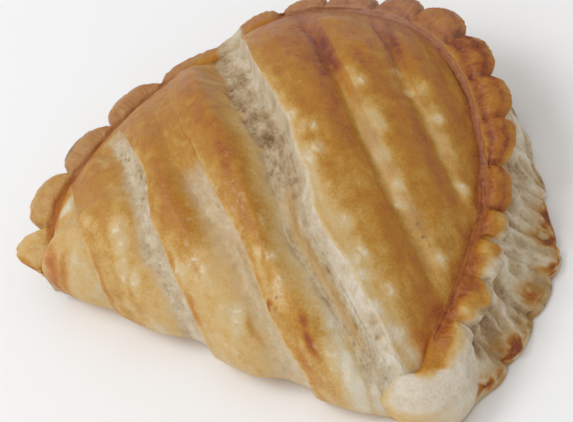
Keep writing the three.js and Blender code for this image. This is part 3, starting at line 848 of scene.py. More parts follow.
def seam_bands(at):
    """The brown band along the seam: narrow all round, and wide on the right and at its dark patch."""
    blotches = at.noise.blotches
    gap_back = rising(GAP_BACK["along"], at.along) * rising(GAP_BACK["across"], at.across)
    around = falling((0.1, 0.5), at.fold) * mix(1, 0.25, gap_back)
    start, end = mix(0.932, 0.972, at.on_right), mix(0.976, 0.992, at.on_right)
    narrow = smooth(start, end, at.out + 0.008 * blotches) * around
    narrow = narrow * mix(mix(1, 0.5, smooth(48, 58, at.along)), 1, at.on_right)
    patch = rising(DARK_PATCH["across"], at.u) * falling(DARK_PATCH["along"], at.v)
    right_side = np.maximum(rising(FAR_RIGHT, at.across) * falling((10, 40), at.along), patch)
    beyond_patch = smooth(46, 54, at.u)
    start = mix(0.915, 0.95, beyond_patch)
    end = start + mix(0.065, 0.045, beyond_patch)
    wide = smooth(start, end, at.out + 0.014 * blotches) * right_side * around
    return narrow, wide


def glaze_brown(at, narrow, wide):
    """How brown the glazed crust is before any open dough."""
    noise = at.noise
    uneven_share = np.clip(at.band_share + 0.07 * noise.blotches + 0.04 * noise.streaks, 0, 1)
    brown = baked_brown(at.band, uneven_share, at.v) + uneven(noise, BROWN_NOISE)
    brown = brown - 0.13 * smooth(0.1, 0.6, noise.clouds) * mix(1, 0.75, at.on_right)
    brown = brown - 0.12 * smooth(0.62, 0.95, at.out) * at.fold * falling((36, 44), at.u)
    # Painted highlight, partly paler glaze: the crust just past each crisp edge is painted paler
    crisp_edge = falling((0.1, 0.9), at.across - at.start + 0.2 * noise.grain) * at.lip
    brown = brown - 0.12 * crisp_edge * falling((38, 46), at.v)
    seam_brown = mix(0.68, 0.86, smooth(10, 66, at.across)) + 0.05 * noise.streaks
    patch_brown = mix(0.5, 0.82, smooth(38, 47, at.u)) + 0.05 * noise.blotches
    brown = mix(brown, np.maximum(brown, seam_brown), narrow)
    brown = mix(brown, np.maximum(brown, patch_brown), 0.95 * wide)
    return brown + marked(at.u, at.v, BROWN_MARKS) - marked(at.u, at.v, PALE_MARKS)


def narrow_lines(at):
    """The browned line along each narrow slash on the right, and the groove at its foot."""
    past_band = at.band_share > 0.9
    upper = smooth(16, 34, at.v)
    line_end = smooth(mix(0.7, 0.25, upper), mix(1.1, 0.7, upper), at.gap_share)
    line = at.steep_left * smooth(-0.1, 0.2, at.gap_share) * (1 - line_end) * past_band
    groove = at.steep_left * bell(at.across, at.end + 0.6, 0.6) * past_band
    return line, groove


def open_dough(at, held, opened, strip):
    """Where the gaps show open dough."""
    noise = at.noise
    edge = mix(0.84, 0.93, smooth(20, 30, at.across)) + uneven(noise, CRUMB_EDGE_NOISE)
    edge = edge + at.second * 0.13 * smooth(40, 56, at.v) - at.third * 0.08 + (at.index == 0) * 0.09
    crumb = smooth(edge, edge + mix(0.18, 0.34, at.third), at.band_share) * (1 - at.steep_left)
    crumb = crumb * smooth(0.4, 1.2, at.depth) * smooth(0.05, 0.5, held) * smooth(0.32, 0.75, opened)
    crumb = crumb * (at.index <= WIDEST) * mix(1, 0.72, at.third)
    return np.maximum(crumb, strip * (1 + 0.4 * noise.blotches))


def dough_surface(at):
    """Lumps, pits and small round pores in the open dough; its tone paints light on the lumps and shade in
    the pits and pores.

    Pores are most in the second gap's back end, and few in the third.
    """
    lumps = 0.7 * at.noise.small_lumps + 0.8 * at.widest * at.noise.large_lumps
    share = np.where(at.third, 0.2, np.where(at.second, mix(0.3, 0.8, smooth(16, 26, at.v)), 0.4))
    round_pores = smooth(0.52, 0.24, cells(at.place, (1.4, 2.0, 1.5), 7))
    pores = share * round_pores * smooth(-0.2, 0.4, at.noise.airy)
    return lumps, marked(at.u, at.v, CRUMB_PITS), pores


def dough_tone(at, lumps, pits, pores):
    """How white the open dough is: lighter on its lumps and tan in its pits and pores as painted light and
    shade, white on the widest gap's wall.
    """
    noise, g = at.noise, at.gap_share
    white_from = by_station(WHITE_FROM, at.along) + 0.1 * noise.blotches + 0.05 * noise.grain
    white_wall = smooth(white_from - 0.14, white_from + 0.14, g)
    # Painted light and shade: lighter on the lumps, darker in the pores
    tone = 0.56 + uneven(noise, TONE_NOISE) + 0.26 * lumps - 0.34 * pores
    tone = tone + np.where(at.widest, 0.32 * white_wall - 0.03, 0.1)
    tone = tone + np.where(at.widest, 0, 0.2 * smooth(0.45, 0.9, g) * falling((25, 45), at.along))
    # Painted shade in the pits
    tone = tone - 0.08 * falling((-0.15, 0.3), g) - 0.75 * pits - 0.14 * at.widest * smooth(12, 24, at.v)
    # Painted highlight and paler dough: a thin lighter line near the right side of the third slash's gap
    film_glint = bell(g, FILM_GLINT["at"], FILM_GLINT["width"]) * (at.index == FILM_GLINT["slash"])
    return tone + 0.35 * film_glint * between(FILM_GLINT, at.along)


def toasted_dough(at):
    """Where the widest gap's floor is toasted."""
    floor = bell(at.gap_share + 0.05 * at.noise.blotches, TOASTED["at"], TOASTED["width"])
    return at.widest * between(TOASTED, at.v) * floor


def corner_dough(at):
    """The unglazed dough at the right corner's fold."""
    edge = rising(CORNER_DOUGH["out"], at.out + 0.012 * at.noise.blotches)
    corner = edge * falling(CORNER_DOUGH["along"], at.v) * rising(CORNER_DOUGH["across"], at.u)
    return corner * (at.index == CORNER_DOUGH["band"])


def glaze_wrinkles(at):
    slant = 0.5
    slanted = np.stack([at.across + slant * at.along, at.along - slant * at.across, at.up], axis=-1)
    return creases(slanted, (1.5, 3.4, 3.0), 83, 2)


def painted_glaze_glints(at, blisters, wrinkles):
    """Painted glints: pale specks painted on the blisters in the glaze, and a few small ones between them."""
    dots = smooth(0.25, 0.7, at.noise.dots) * falling((10, 30), at.v) * (1 - at.on_right)
    return blisters * (0.15 + 0.5 * smooth(0.34, 0.7, wrinkles)) + 0.22 * dots


def glaze_relief(at, blisters, wrinkles):
    noise = at.noise
    clouds = smooth(0.1, 0.6, noise.clouds)
    return 0.1 * noise.streaks + 0.34 * blisters * wrinkles + 0.1 * clouds + 0.07 * noise.skin


def dough_relief(at, lumps, pits, pores):
    fibres = creases(at.place, (1.3, 3.0, 1.8), 37, 2)
    return 0.42 * lumps + 0.3 * fibres - 0.3 - 0.5 * pores - 0.6 * pits


def crust_masks(at, held, opened):
    """Masks and fine relief of the crust at each of its places."""
    noise, u, v = at.noise, at.u, at.v
    blotches = noise.blotches
    narrow, wide = seam_bands(at)
    line, groove = narrow_lines(at)
    strip = marked(u, v, SOFT_STRIPS)
    flour = marked(u, v, FLOUR_MARKS)
    lumps, pits, pores = dough_surface(at)
    toasted = toasted_dough(at)
    corner = corner_dough(at)
    blisters = blistered(u, v, 1)
    wrinkles = glaze_wrinkles(at)

    line_brown = mix(0.44, 0.8, smooth(20, 40, v)) + 0.07 * blotches
    # Painted shade: the groove at the foot of each narrow slash is painted browner
    brown = mix(glaze_brown(at, narrow, wide), line_brown, 0.75 * line) + 0.12 * groove
    brown = mix(brown, 0.46, strip)
    # Painted highlight: the crust round each cluster of blisters is painted paler
    brown = mix(brown, 0.5 + 0.08 * lumps, toasted) - 0.15 * blistered(u, v, 1.9)

    crumb = open_dough(at, held, opened, strip) * (1 - 0.6 * toasted)
    crumb = np.maximum(np.maximum(crumb, corner), flour)
    # The corner's dough and the soft strips are painted a little lighter on their lumps, painted light
    corner_tone = 0.88 + 0.14 * blotches + 0.06 * lumps
    tone = mix(dough_tone(at, lumps, pits, pores), corner_tone, corner)
    tone = mix(tone, 0.42 + 0.14 * lumps, smooth(0, 0.2, strip))
    tone = np.maximum(tone, 0.9 * smooth(0.1, 0.5, flour))

    raised = smooth(0.05, 0.5, held)
    relief = uneven(noise, RELIEF_NOISE) + (1 - crumb) * glaze_relief(at, blisters, wrinkles)
    relief = relief + crumb * (1 - corner) * dough_relief(at, lumps, pits, pores)
    relief = relief + 0.18 * bell(at.across, at.start + LIP_WIDTH, LIP_WIDTH) * at.lip * raised
    relief = relief * mix(1, 0.4, narrow) - 0.12 * groove * raised

    # Painted sheen: the crust near the seam at the top of the back is painted a greyish pinkish tint
    back_sheen = smooth(30, 50, at.along) * smooth(28, 42, at.across)
    back_sheen = back_sheen * smooth(0.8, 0.97, at.out + 0.03 * blotches)
    seam_red = 0.75 * narrow * falling((20, 50), at.across) + 0.2 * wide
    seam_pink = 0.3 * narrow * smooth(20, 36, at.along) * smooth(44, 60, at.across)
    gloss = (0.6 + 0.25 * noise.streaks + 0.4 * blisters) * (1 - 0.5 * np.maximum(narrow, wide))
    masks = {
        "brown": brown,
        "red": marked(u, v, RED_MARKS) + seam_red + 0.5 * line * smooth(28, 42, v),
        "pink_and_sheen": 0.4 * back_sheen + seam_pink,
        "crumb": crumb,
        "tone": tone,
        "scorch": marked(at.across, at.along, SCORCH_MARKS),
        "shine": (1 - crumb) * gloss,
        # Painted highlights: pale glint specks on the glaze
        "painted_glints": painted_glaze_glints(at, blisters, wrinkles) * (1 - crumb),
    }
    return with_relief(masks, relief)


# The crimped rim

LOBE_STARTS = np.concatenate([[0], np.cumsum(LOBE_WIDTHS)]) * SEAM_LENGTH / sum(LOBE_WIDTHS)


def lobe_place(length):
    """Number of the lobe and how far across it each length lies."""
    index = np.clip(np.searchsorted(LOBE_STARTS, length, side="left") - 1, 0, len(LOBE_WIDTHS) - 1)
    f = (length - LOBE_STARTS[index]) / (LOBE_STARTS[index + 1] - LOBE_STARTS[index])
    return index, np.clip(f, 0, 1)


def lobe_shape(length):
    """1 on the crown of a lobe, 0 in the nick between two."""
    index, f = lobe_place(length)
    shape = (1 - np.abs(2 * f - 1) ** LOBE_SQUARENESS) ** LOBE_ROUNDNESS
    last = np.where(index == len(LOBE_WIDTHS) - 1, smooth(0.2, 1, f), 0)
    shape = mix(shape, RIGHT_END_SHAPE, last)
    return np.where(length <= 0, 0, np.where(length >= SEAM_LENGTH, RIGHT_END_SHAPE, shape))


def rim_path(length):
    """The seam, then at each end a tight turn and a straight run back under the fold."""
    x, y, out_x, out_y = seam_at(np.clip(length, 0, SEAM_LENGTH))
    turned = np.zeros(length.shape)
    run_share = np.zeros(length.shape)
    for side, turn in ((-1, LEFT_TURN), (1, RIGHT_TURN)):
        over = np.where(side < 0, -length, length - SEAM_LENGTH)
        on = over > 0
        angle = np.minimum(turn["angle"], over / turn["radius"])
        run = np.maximum(0, over - turn["radius"] * turn["angle"])
        start = np.arctan2(-out_y, side * out_x)
        new_x = side * np.cos(start + angle)
        new_y = -np.sin(start + angle)
        x = np.where(on, x + turn["radius"] * (new_x - side * np.cos(start)) - side * run, x)
        y = np.where(on, y + turn["radius"] * (new_y + np.sin(start)), y)
        turned = np.where(on, angle / turn["angle"], turned)
        run_share = np.where(on, run / turn["run"], run_share)
        out_x, out_y = np.where(on, new_x, out_x), np.where(on, new_y, out_y)
    return x, y, out_x, out_y, turned, run_share


def curve_through(points, steps):
    """A smooth curve through a row of points, with that many steps between each two."""
    before = np.concatenate([points[:, :1], points[:, :-2]], axis=1)
    after = np.concatenate([points[:, 2:], points[:, -1:]], axis=1)
    a, b = points[:, :-1], points[:, 1:]
    slope_a, slope_b = (b - before) * 0.4, (after - a) * 0.4
    pieces = []
    for i in range(a.shape[1]):
        for k in np.arange(steps[i]) / steps[i]:
            k2, k3 = k * k, k * k * k
            pieces.append((2 * k3 - 3 * k2 + 1) * a[:, i] + (k3 - 2 * k2 + k) * slope_a[:, i]
                          + (3 * k2 - 2 * k3) * b[:, i] + (k3 - k2) * slope_b[:, i])
    pieces.append(points[:, -1])
    return np.stack(pieces, axis=1)


# Where the rim hugs the dome, so that the seam between them is shallow: fully between two lengths on
# the left, and by stations on the right
HUGGED_RIM = {"from": (58, 66), "until": (90, 97)}
RIGHT_HUG = [(104, 0), (122, 0.8), (172, 0.85), (196, 1)]

# The valley between dome and lobes: distance out from the seam, and depth below the seam's height,
# first where it is open and then where the rim hugs the dome
VALLEY = [(-6, 7, 7), (-1.2, 2.2, 0.5), (0.8, 1.2, -0.1), (1.9, 0.1, -0.3)]

# The crimped profile from the lobe's crown to its foot
CROWN = {"rise": 0.3, "droop_share": 0.3, "shape": 0.4, "out": 0.55}
LOBE_SHOULDER = {"out": 0.86, "drop": 0.45}
WAIST_INSET = 0.6
CORNER_UNDER_SHRINK = 0.4
WALL = {"rows": 5, "top": 1.7, "bottom": 3, "bow": 1.5}
FOOT = {"out": 0.3, "height": 1.6, "inset": 0.8, "under": 2.5, "least": -5}
UNDER_REACH = 2
UNDER_HEIGHT = 2
PROFILE_STEPS = [2, 5, 5, 9, 9, 7, 8, 9, 9, 9, 8, 5, 4, 3, 3]


def hugged_share(length):
    return between(HUGGED_RIM, length)


def crimped_profile(length, shrink):
    """Reach and height of the crimped rim's outline, cut square to the seam at each length."""
    m = rim_at(length)
    height, droop = m["height"], m["droop"]
    shape = lobe_shape(length)
    reach = (m["nick"] + m["lobe"] * shape) * shrink
    edge = height - droop - EDGE_THICKNESS
    crown = height + CROWN["rise"] - droop * CROWN["droop_share"] + LOBE_PUFF * (shape - CROWN["shape"])
    waist = (m["nick"] - WAIST_INSET + RIB_DEPTH * shape) * shrink
    foot = np.maximum(FOOT["least"], m["foot"] + RIB_DEPTH * (shape - 1))
    flat = np.ones(length.shape)
    hug = np.maximum(hugged_share(length), by_station(RIGHT_HUG, length))
    points = []
    for out, open_depth, hugged_depth in VALLEY:
        points.append((out * (shrink if out > 0 else flat), height - mix(open_depth, hugged_depth, hug)))
    points.append((reach * CROWN["out"], crown))
    points.append((reach * LOBE_SHOULDER["out"], mix(crown, edge, LOBE_SHOULDER["drop"])))
    points.append((reach, edge))
    for k in np.arange(WALL["rows"]) / (WALL["rows"] - 1):
        points.append((mix(waist, foot, k ** WALL["bow"]), mix(edge - WALL["top"], WALL["bottom"], k)))
    points.append((foot + FOOT["out"] * shrink, FOOT["height"] * flat))
    points.append((foot - FOOT["inset"], 0 * flat))
    points.append((np.minimum(-UNDER_REACH, foot - FOOT["under"]), 0 * flat))
    points.append((-INNER_REACH * flat, UNDER_HEIGHT * flat))
    profile = np.stack([np.stack(pair, axis=-1) for pair in points], axis=1)
    lift = TIP_LIFT["height"] * (1 - smooth(TIP_LIFT["from"], TIP_LIFT["until"], length))
    profile[..., 1] = lift[:, None] + profile[..., 1] * (1 - lift / height)[:, None]
    return profile


def round_profile(reach, count):
    """The smooth round end of the dough at the right corner, with as many points."""
    height = rim_at(np.array([SEAM_LENGTH]))["height"][0]
    flat = np.ones(reach.shape)
    points = [(out * flat, (height - depth) * flat) for out, depth, _ in VALLEY[:2]]
    steps = count - 5
    for i in range(steps + 1):
        angle = mix(CORNER_TOP_ANGLE, -CORNER_UNDER_ANGLE, i / steps)
        if angle > 0:
            out = reach * math.cos(angle)
            above = height - CORNER_WAIST_HEIGHT
        else:
            out = reach - CORNER_UNDER_SHRINK * reach * (1 - math.cos(angle))
            above = CORNER_WAIST_HEIGHT / math.sin(CORNER_UNDER_ANGLE)
        points.append((out, (CORNER_WAIST_HEIGHT + above * math.sin(angle)) * flat))
    points.append((-UNDER_REACH * flat, 0 * flat))
    points.append((-INNER_REACH * flat, UNDER_HEIGHT * flat))
    return np.stack([np.stack(pair, axis=-1) for pair in points], axis=1)


# Steps along the rim, on the left turn, the seam and the right turn
RIM_STEPS = (14, 900, 44)
RIM_MIDDLE_HEIGHT = 8
UPPER_ROWS = slice(30, 60)


def rim_lengths():
    left = LEFT_TURN["radius"] * LEFT_TURN["angle"] + LEFT_TURN["run"]
    right = RIGHT_TURN["radius"] * RIGHT_TURN["angle"] + RIGHT_TURN["run"]
    return np.concatenate([
        np.linspace(-left, 0, RIM_STEPS[0], endpoint=False),
        np.linspace(0, SEAM_LENGTH, RIM_STEPS[1], endpoint=False),
        np.linspace(SEAM_LENGTH, SEAM_LENGTH + right, RIM_STEPS[2]),
    ])


def rim_profiles(length, turned, run_share):
    """The profile at each length, and how much of it is the right corner's round one."""
    shrink = np.where(length < 0, mix(LEFT_TURN["shrink"], 1, np.sqrt(1 - turned ** 2)), 1)
    crimped = crimped_profile(length, shrink)
    past_turn = np.where(length > SEAM_LENGTH, smooth(0.4, 1, turned), 0)
    corner_out = mix(CORNER_REACH, CORNER_FOLD_REACH, past_turn)
    rounded = round_profile(mix(corner_out, CORNER_END_REACH, run_share), crimped.shape[1])
    corner = smooth(SEAM_LENGTH - CORNER_START, SEAM_LENGTH + 1, length)[:, None]
    profile = mix(crimped, rounded, corner[..., None])
    from_end = np.minimum(length, SEAM_LENGTH - length)
    inner = mix(CORNER_INNER, 1, smooth(0, INNER_EASE, from_end))
    inner = mix(inner, FOLD_INNER, np.where(length > 0, run_share, 0))
    profile[..., 0] = np.where(profile[..., 0] < 0, profile[..., 0] * inner[:, None], profile[..., 0])
    return profile, corner


def rim_grid():
    """The rim and the layered wall below it, with what their colour needs."""
    length = rim_lengths()
    x, y, out_x, out_y, turned, run_share = rim_path(length)
    profile, corner = rim_profiles(length, turned, run_share)
    fine = curve_through(profile, PROFILE_STEPS)
    share = [i + np.arange(steps) / steps for i, steps in enumerate(PROFILE_STEPS)]
    share = np.concatenate(share + [[len(PROFILE_STEPS)]])
    reach, height = fine[..., 0], fine[..., 1]
    plan_x = x[:, None] + out_x[:, None] * reach
    plan_y = y[:, None] + out_y[:, None] * reach
    points = np.stack([plan_x, plan_y, height], axis=-1)
    middle = np.array([CENTRE[0], CENTRE[1], RIM_MIDDLE_HEIGHT])
    normal = np.cross(np.gradient(points, axis=0), np.gradient(points, axis=1))
    normal /= np.maximum(1e-9, np.linalg.norm(normal, axis=-1, keepdims=True))
    if np.mean(np.sum(normal * (points - middle), axis=-1)[:, UPPER_ROWS]) < 0:
        normal = -normal
    wide_length = length[:, None] * np.ones(share.shape)
    wide_share = share[None, :] * np.ones((len(length), 1))
    masks = rim_masks(wide_length, wide_share, points, corner)
    points = points + normal * masks.pop("relief")[..., None]
    points[..., 2] = np.maximum(points[..., 2], 0)
    return points, masks


# How brown each lobe is, from the left corner to the right one, and how pinkish, which on the back lobes is
# partly painted sheen
LOBE_BAKES = [
    (0.34, 0.0), (0.46, 0.15), (0.56, 0.4), (0.62, 0.4), (0.64, 0.4), (0.66, 0.4),
    (0.68, 0.55), (0.72, 0.6), (0.74, 0.5), (0.76, 0.25), (0.78, 0.0), (0.76, 0.0),
    (0.78, 0.0), (0.78, 0.0), (0.66, 0.0), (0.42, 0.0), (0.5, 0.0), (0.2, 0.0),
]

# Marks on the rim: length along the seam, share of the profile, half widths, and strength
RIM_BROWN_MARKS = [
    (0.9, 5.6, 2.8, 0.9, 0.5), (6.0, 6.3, 3.4, 0.7, 0.2), (2.0, 4.8, 1.4, 0.5, 0.25),
    (176.0, 11.2, 3.0, 0.8, 0.3), (186.0, 11.2, 3.4, 0.8, 0.35), (191.0, 11.6, 3.6, 1.5, 1.0),
    (197.4, 10.8, 2.8, 1.4, 0.75), (204.0, 11.4, 3.0, 0.9, 0.45), (209.0, 5.2, 3.0, 0.8, 0.3),
    (211.7, 10.6, 3.0, 1.3, 0.6), (217.6, 8.4, 1.6, 0.5, 0.4), (218.0, 11.2, 3.0, 0.8, 0.45),
    (221.0, 8.6, 1.0, 0.7, 0.3), (226.0, 10.8, 4.2, 1.2, 0.66), (232.0, 11.3, 2.4, 0.7, 0.45),
    (237.5, 10.6, 3.8, 1.0, 0.6),
]
RIM_SCORCH_MARKS = [(34.2, 5.2, 3.0, 0.5, 1.3), (32.0, 4.9, 1.8, 0.4, 0.8)]
RIM_PALE_MARKS = [
    (149.0, 3.0, 5.0, 0.4, 0.2), (183.0, 5.6, 4.0, 0.7, 0.2), (200.0, 4.9, 2.0, 1.0, 0.2),
    (215.5, 4.6, 3.6, 1.6, 0.3), (226.5, 3.6, 1.3, 0.6, 0.36),
]

# Where the smooth dough of the right corner begins, as a share of the profile, by the length
DOUGH_FROM = [
    (192, 6.8), (204, 5.3), (208, 5.5), (213.5, 4.6), (217, 4.9), (221, 5.9), (225, 5.2),
    (230, 4.7), (235.5, 5.0), (240, 4.3), (242.8, 3.0), (245, 0.9),
]

# How far the dark band beside the seam reaches over the rim on the right, as a share of the profile
DARK_UNTIL = [
    (168, 1.6), (183, 2.6), (191, 3.3), (200, 3.7), (205, 3.5), (209, 3.1), (213.5, 4.0),
    (219.5, 4.6), (222, 3.9), (225, 3.4), (229, 3.9), (237, 4.0), (241, 3.4), (244, 1.5),
]

# The widest gap runs out over the rim between these lengths
GAP_ON_RIM = (76.2, 85)

# Parts of the rim: between which lengths or shares of the profile each fades in or out
TOP_ROWS = {"from": (1.2, 2.6), "until": (5.8, 6.5)}
WALL_ROWS = {"from": (6.0, 6.7), "until": (11.6, 12.2)}
RIGHT_SIDE = (182, 198)
LAYERED_SIDE = {"from": (96, 108), "until": (186, 200)}
BACK_SEAM = (100, 130)
DARK_BAND_FROM = (168, 186)
RUMPLED_WALL = {"from": (150, 172), "until": (236, 243)}
BARE_DOUGH = (192, 200)
WHITE_DOUGH = (230, 238)
CREAM_EDGE = {"share": (5.4, 6.8), "length": (242.8, 245)}
CREAM_FROM = (246, 250.5)
CALM_TIP = (-1, 4)
NICK_WIDTH = 0.1
LAYER_HEIGHT = 1.25

# The edges of single layers on the rim's top: share of the profile, width, and how far each shows
# in the colour and in the relief
LAYER_SHADES = [(3.5, 0.3, 1), (4.7, 0.25, 1), (3.0, 0.3, -1)]
LAYER_STEPS = [(3.0, 0.3, 0.4), (3.6, 0.3, -0.3), (4.9, 0.3, 0.2)]

# Noises over the rim: size of the lumps along it, down it and up in mm, seed, octaves
RIM_NOISES = {
    "sideways": (3, 58, 3),
    "downwards": (3, 60, 3),
    "patches": ((5, 5, 30), 51, 3),
    "blotches": ((2.5, 2.5, 20), 55, 3),
    "grain": (1.2, 57, 3),
    "shades": ((5, 5, 3), 59, 3),
    "foot": ((4, 4, 4), 61, 3),
    "leaning": (6, 62, 3),
    "layers": ((7, 9, 5), 65, 3),
    "baked": ((1.8, 2.2, 2.2), 68, 3),
    "ripples": ((3.2, 4, 30), 71, 3),
    "swells": ((5, 5, 30), 79, 3),
    "dough_swells": ((5, 4, 5), 73, 3),
    "dough_grain": ((2, 2, 2), 74, 3),
    "dough_edge": (1.3, 87, 3),
    "dough_tone": ((1.4, 1.4, 4), 109, 3),
    "fleck_patches": (5, 89, 3),
}
RIM_BROWN_NOISE = {"patches": 0.12, "blotches": 0.1, "grain": 0.04}
DOUGH_RELIEF_NOISE = {"dough_swells": 0.5, "dough_grain": 0.2}


def layer_edges(lowered, edges):
    return sum(strength * bell(lowered, middle, width) for middle, width, strength in edges)


def rim_places(length, share, points, corner):
    """Where each point lies on the rim, with the noises there.

    warped and lowered are length and share, shifted a little so that marks have uneven edges.
    """
    at = SimpleNamespace(length=length, share=share, height=points[..., 2], corner=corner, crimped=1 - corner)
    at.lobe, across_lobe = lobe_place(length)
    at.shape = lobe_shape(length)
    at.place = np.stack([length, share * 2.5, at.height], axis=-1)
    at.noise = noises(at.place, RIM_NOISES)
    at.warped = length + 0.8 * at.noise.sideways
    at.lowered = share + 0.3 * at.noise.downwards
    at.on_top = between(TOP_ROWS, share)
    at.on_lobes = at.on_top * at.crimped
    at.on_wall = rising(WALL_ROWS["from"], at.lowered) * falling(WALL_ROWS["until"], share)
    at.nick = bell(np.minimum(across_lobe, 1 - across_lobe), 0, NICK_WIDTH)
    at.hugged = hugged_share(length)
    at.right_side = rising(RIGHT_SIDE, length)
    at.layered_side = between(LAYERED_SIDE, length)
    at.back_seam = rising(BACK_SEAM, length)
    return at


def beside_seam(at):
    """The dark line in the seam, the browned ridge beside it, and the dark band on the right."""
    middle, width = mix(1.7, 1.9, at.back_seam), mix(0.8, 0.45, at.back_seam)
    line = bell(at.share, middle, width) * at.crimped * (1 - 0.85 * at.hugged)
    ridge = bell(at.share, 2.5, 0.55) * at.back_seam * (1 - at.right_side)
    dark_until = by_station(DARK_UNTIL, at.length)
    past_band = smooth(dark_until - 0.5, dark_until + 0.9, at.share + 0.4 * at.noise.blotches)
    return line, ridge, rising(DARK_BAND_FROM, at.length) * (1 - past_band)


def lobe_brown(at, line, ridge, band):
    """How brown the tops of the lobes are."""
    blotches = at.noise.blotches
    brown = np.array([brown for brown, _ in LOBE_BAKES])[at.lobe] + uneven(at.noise, RIM_BROWN_NOISE)
    brown = brown + 0.12 * at.nick * (1 - at.hugged) - 0.1 * smooth(4.8, 6, at.share)
    brown = brown + 0.12 * at.layered_side * layer_edges(at.lowered, LAYER_SHADES)
    brown = brown + marked(at.warped, at.lowered, RIM_BROWN_MARKS)
    brown = brown - marked(at.warped, at.lowered, RIM_PALE_MARKS)
    line_brown = 0.68 + 0.26 * at.back_seam + 0.05 * blotches
    brown = mix(brown, line_brown, np.clip(1.1 * line, 0, 1))
    brown = mix(brown, 0.84 + 0.06 * blotches, 0.85 * ridge)
    band_brown = mix(0.87, 0.64, smooth(232, 241, at.length)) + 0.05 * blotches
    return mix(brown, np.maximum(brown, band_brown), band)


def wall_bake(at):
    """How baked the wall is: its foot on the right, and its brown marks."""
    foot = smooth(10, 11, at.lowered + 0.6 * (1 - at.shape)) * smooth(-0.15, 0.3, at.noise.foot)
    baked = 0.34 * foot * rising(DARK_BAND_FROM, at.length)
    baked = baked + marked(at.warped, at.lowered, RIM_BROWN_MARKS)
    return baked * smooth(-0.7, 0.3, at.noise.baked)


def wall_folds(at):
    """The wall's upright columns, and the finer crumples on them."""
    along = at.length + 0.3 * at.height + 1.4 * at.noise.leaning
    upright = np.stack([along, 0.55 * at.height, 0.2 * at.height], axis=-1)
    tangled = np.stack([along, at.height, 0.4 * at.length], axis=-1)
    return creases(upright, (6.4, 11, 9), 67, 2), creases(tangled, (2.6, 4.6, 5), 77, 3)


def rim_relief(at, columns, crumple, radial):
    noise = at.noise
    layers = np.sin(at.height * 2 * math.pi / LAYER_HEIGHT + 2.6 * noise.layers)
    rumpled = 1.6 * columns + 0.85 * crumple - 1.05 + 0.04 * layers
    tidy = 0.35 * columns + 0.1 * layers - 0.15
    relief = at.on_wall * at.crimped * mix(tidy, rumpled, between(RUMPLED_WALL, at.length))
    relief = relief + at.on_lobes * (0.42 * noise.ripples - 0.45 * at.nick * (1 - at.hugged))
    relief = relief + at.on_lobes * 0.34 * radial * smooth(2.6, 3.8, at.share)
    relief = relief + at.layered_side * layer_edges(at.lowered, LAYER_STEPS)
    swollen = 0.5 * bell(at.share, 1.6, 1.1) + 0.8 * at.on_top * noise.swells
    relief = relief + at.right_side * at.crimped * swollen
    dough_folds = creases(at.place, (4, 9, 9), 111, 2)
    relief = relief + at.corner * (uneven(noise, DOUGH_RELIEF_NOISE) - 0.3 * dough_folds)
    relief = relief + 0.6 * at.hugged * bell(at.share, 1.6, 1.4)
    return relief * mix(0.15, 1, rising(CALM_TIP, at.length))


def bare_corner(at):
    """The bare dough of the right corner, and the creamy dough that runs on to the fold."""
    blotches = at.noise.blotches
    dough_from = by_station(DOUGH_FROM, at.length) + 0.35 * blotches
    below_edge = smooth(dough_from - 0.5, dough_from + 0.5, at.share + 0.2 * at.noise.dough_edge)
    lower_edge = rising(CREAM_EDGE["share"], at.share + 0.5 * blotches)
    lower_edge = lower_edge * rising(CREAM_EDGE["length"], at.length + 0.5 * blotches)
    cream = np.maximum(rising(CREAM_FROM, at.length + 0.6 * blotches), lower_edge)
    return below_edge * rising(BARE_DOUGH, at.length), cream


def gap_streak(at):
    """Where the widest gap's open dough runs out over the rim."""
    start, end = GAP_ON_RIM
    return smooth(start - 0.6, start + 2, at.warped) * (1 - smooth(end - 1.2, end + 0.6, at.warped))


def wall_tone(at, columns, crumple, dough, streak):
    """How white the wall and the bare dough are, the wall painted lighter on the crests of its folds and
    darker in their valleys and its nicks: painted light and shade.
    """
    noise = at.noise
    # Painted light on the crests of the columns and crumples, painted shade in their valleys and in the nicks
    tone = 0.62 + 0.62 * (columns - 0.45) + 0.5 * (crumple - 0.4) + 0.12 * noise.shades
    tone = tone - 0.12 * at.nick * at.crimped
    white = 0.88 + 0.14 * noise.blotches + 0.1 * noise.dough_tone - 0.3 * smooth(10, 12, at.share)
    tone = mix(tone, white, dough * rising(WHITE_DOUGH, at.length))
    tone = mix(tone, 0.48 + 0.14 * noise.blotches, at.hugged * (1 - at.on_wall))
    return tone + 0.22 * streak * smooth(78, 82, at.warped)


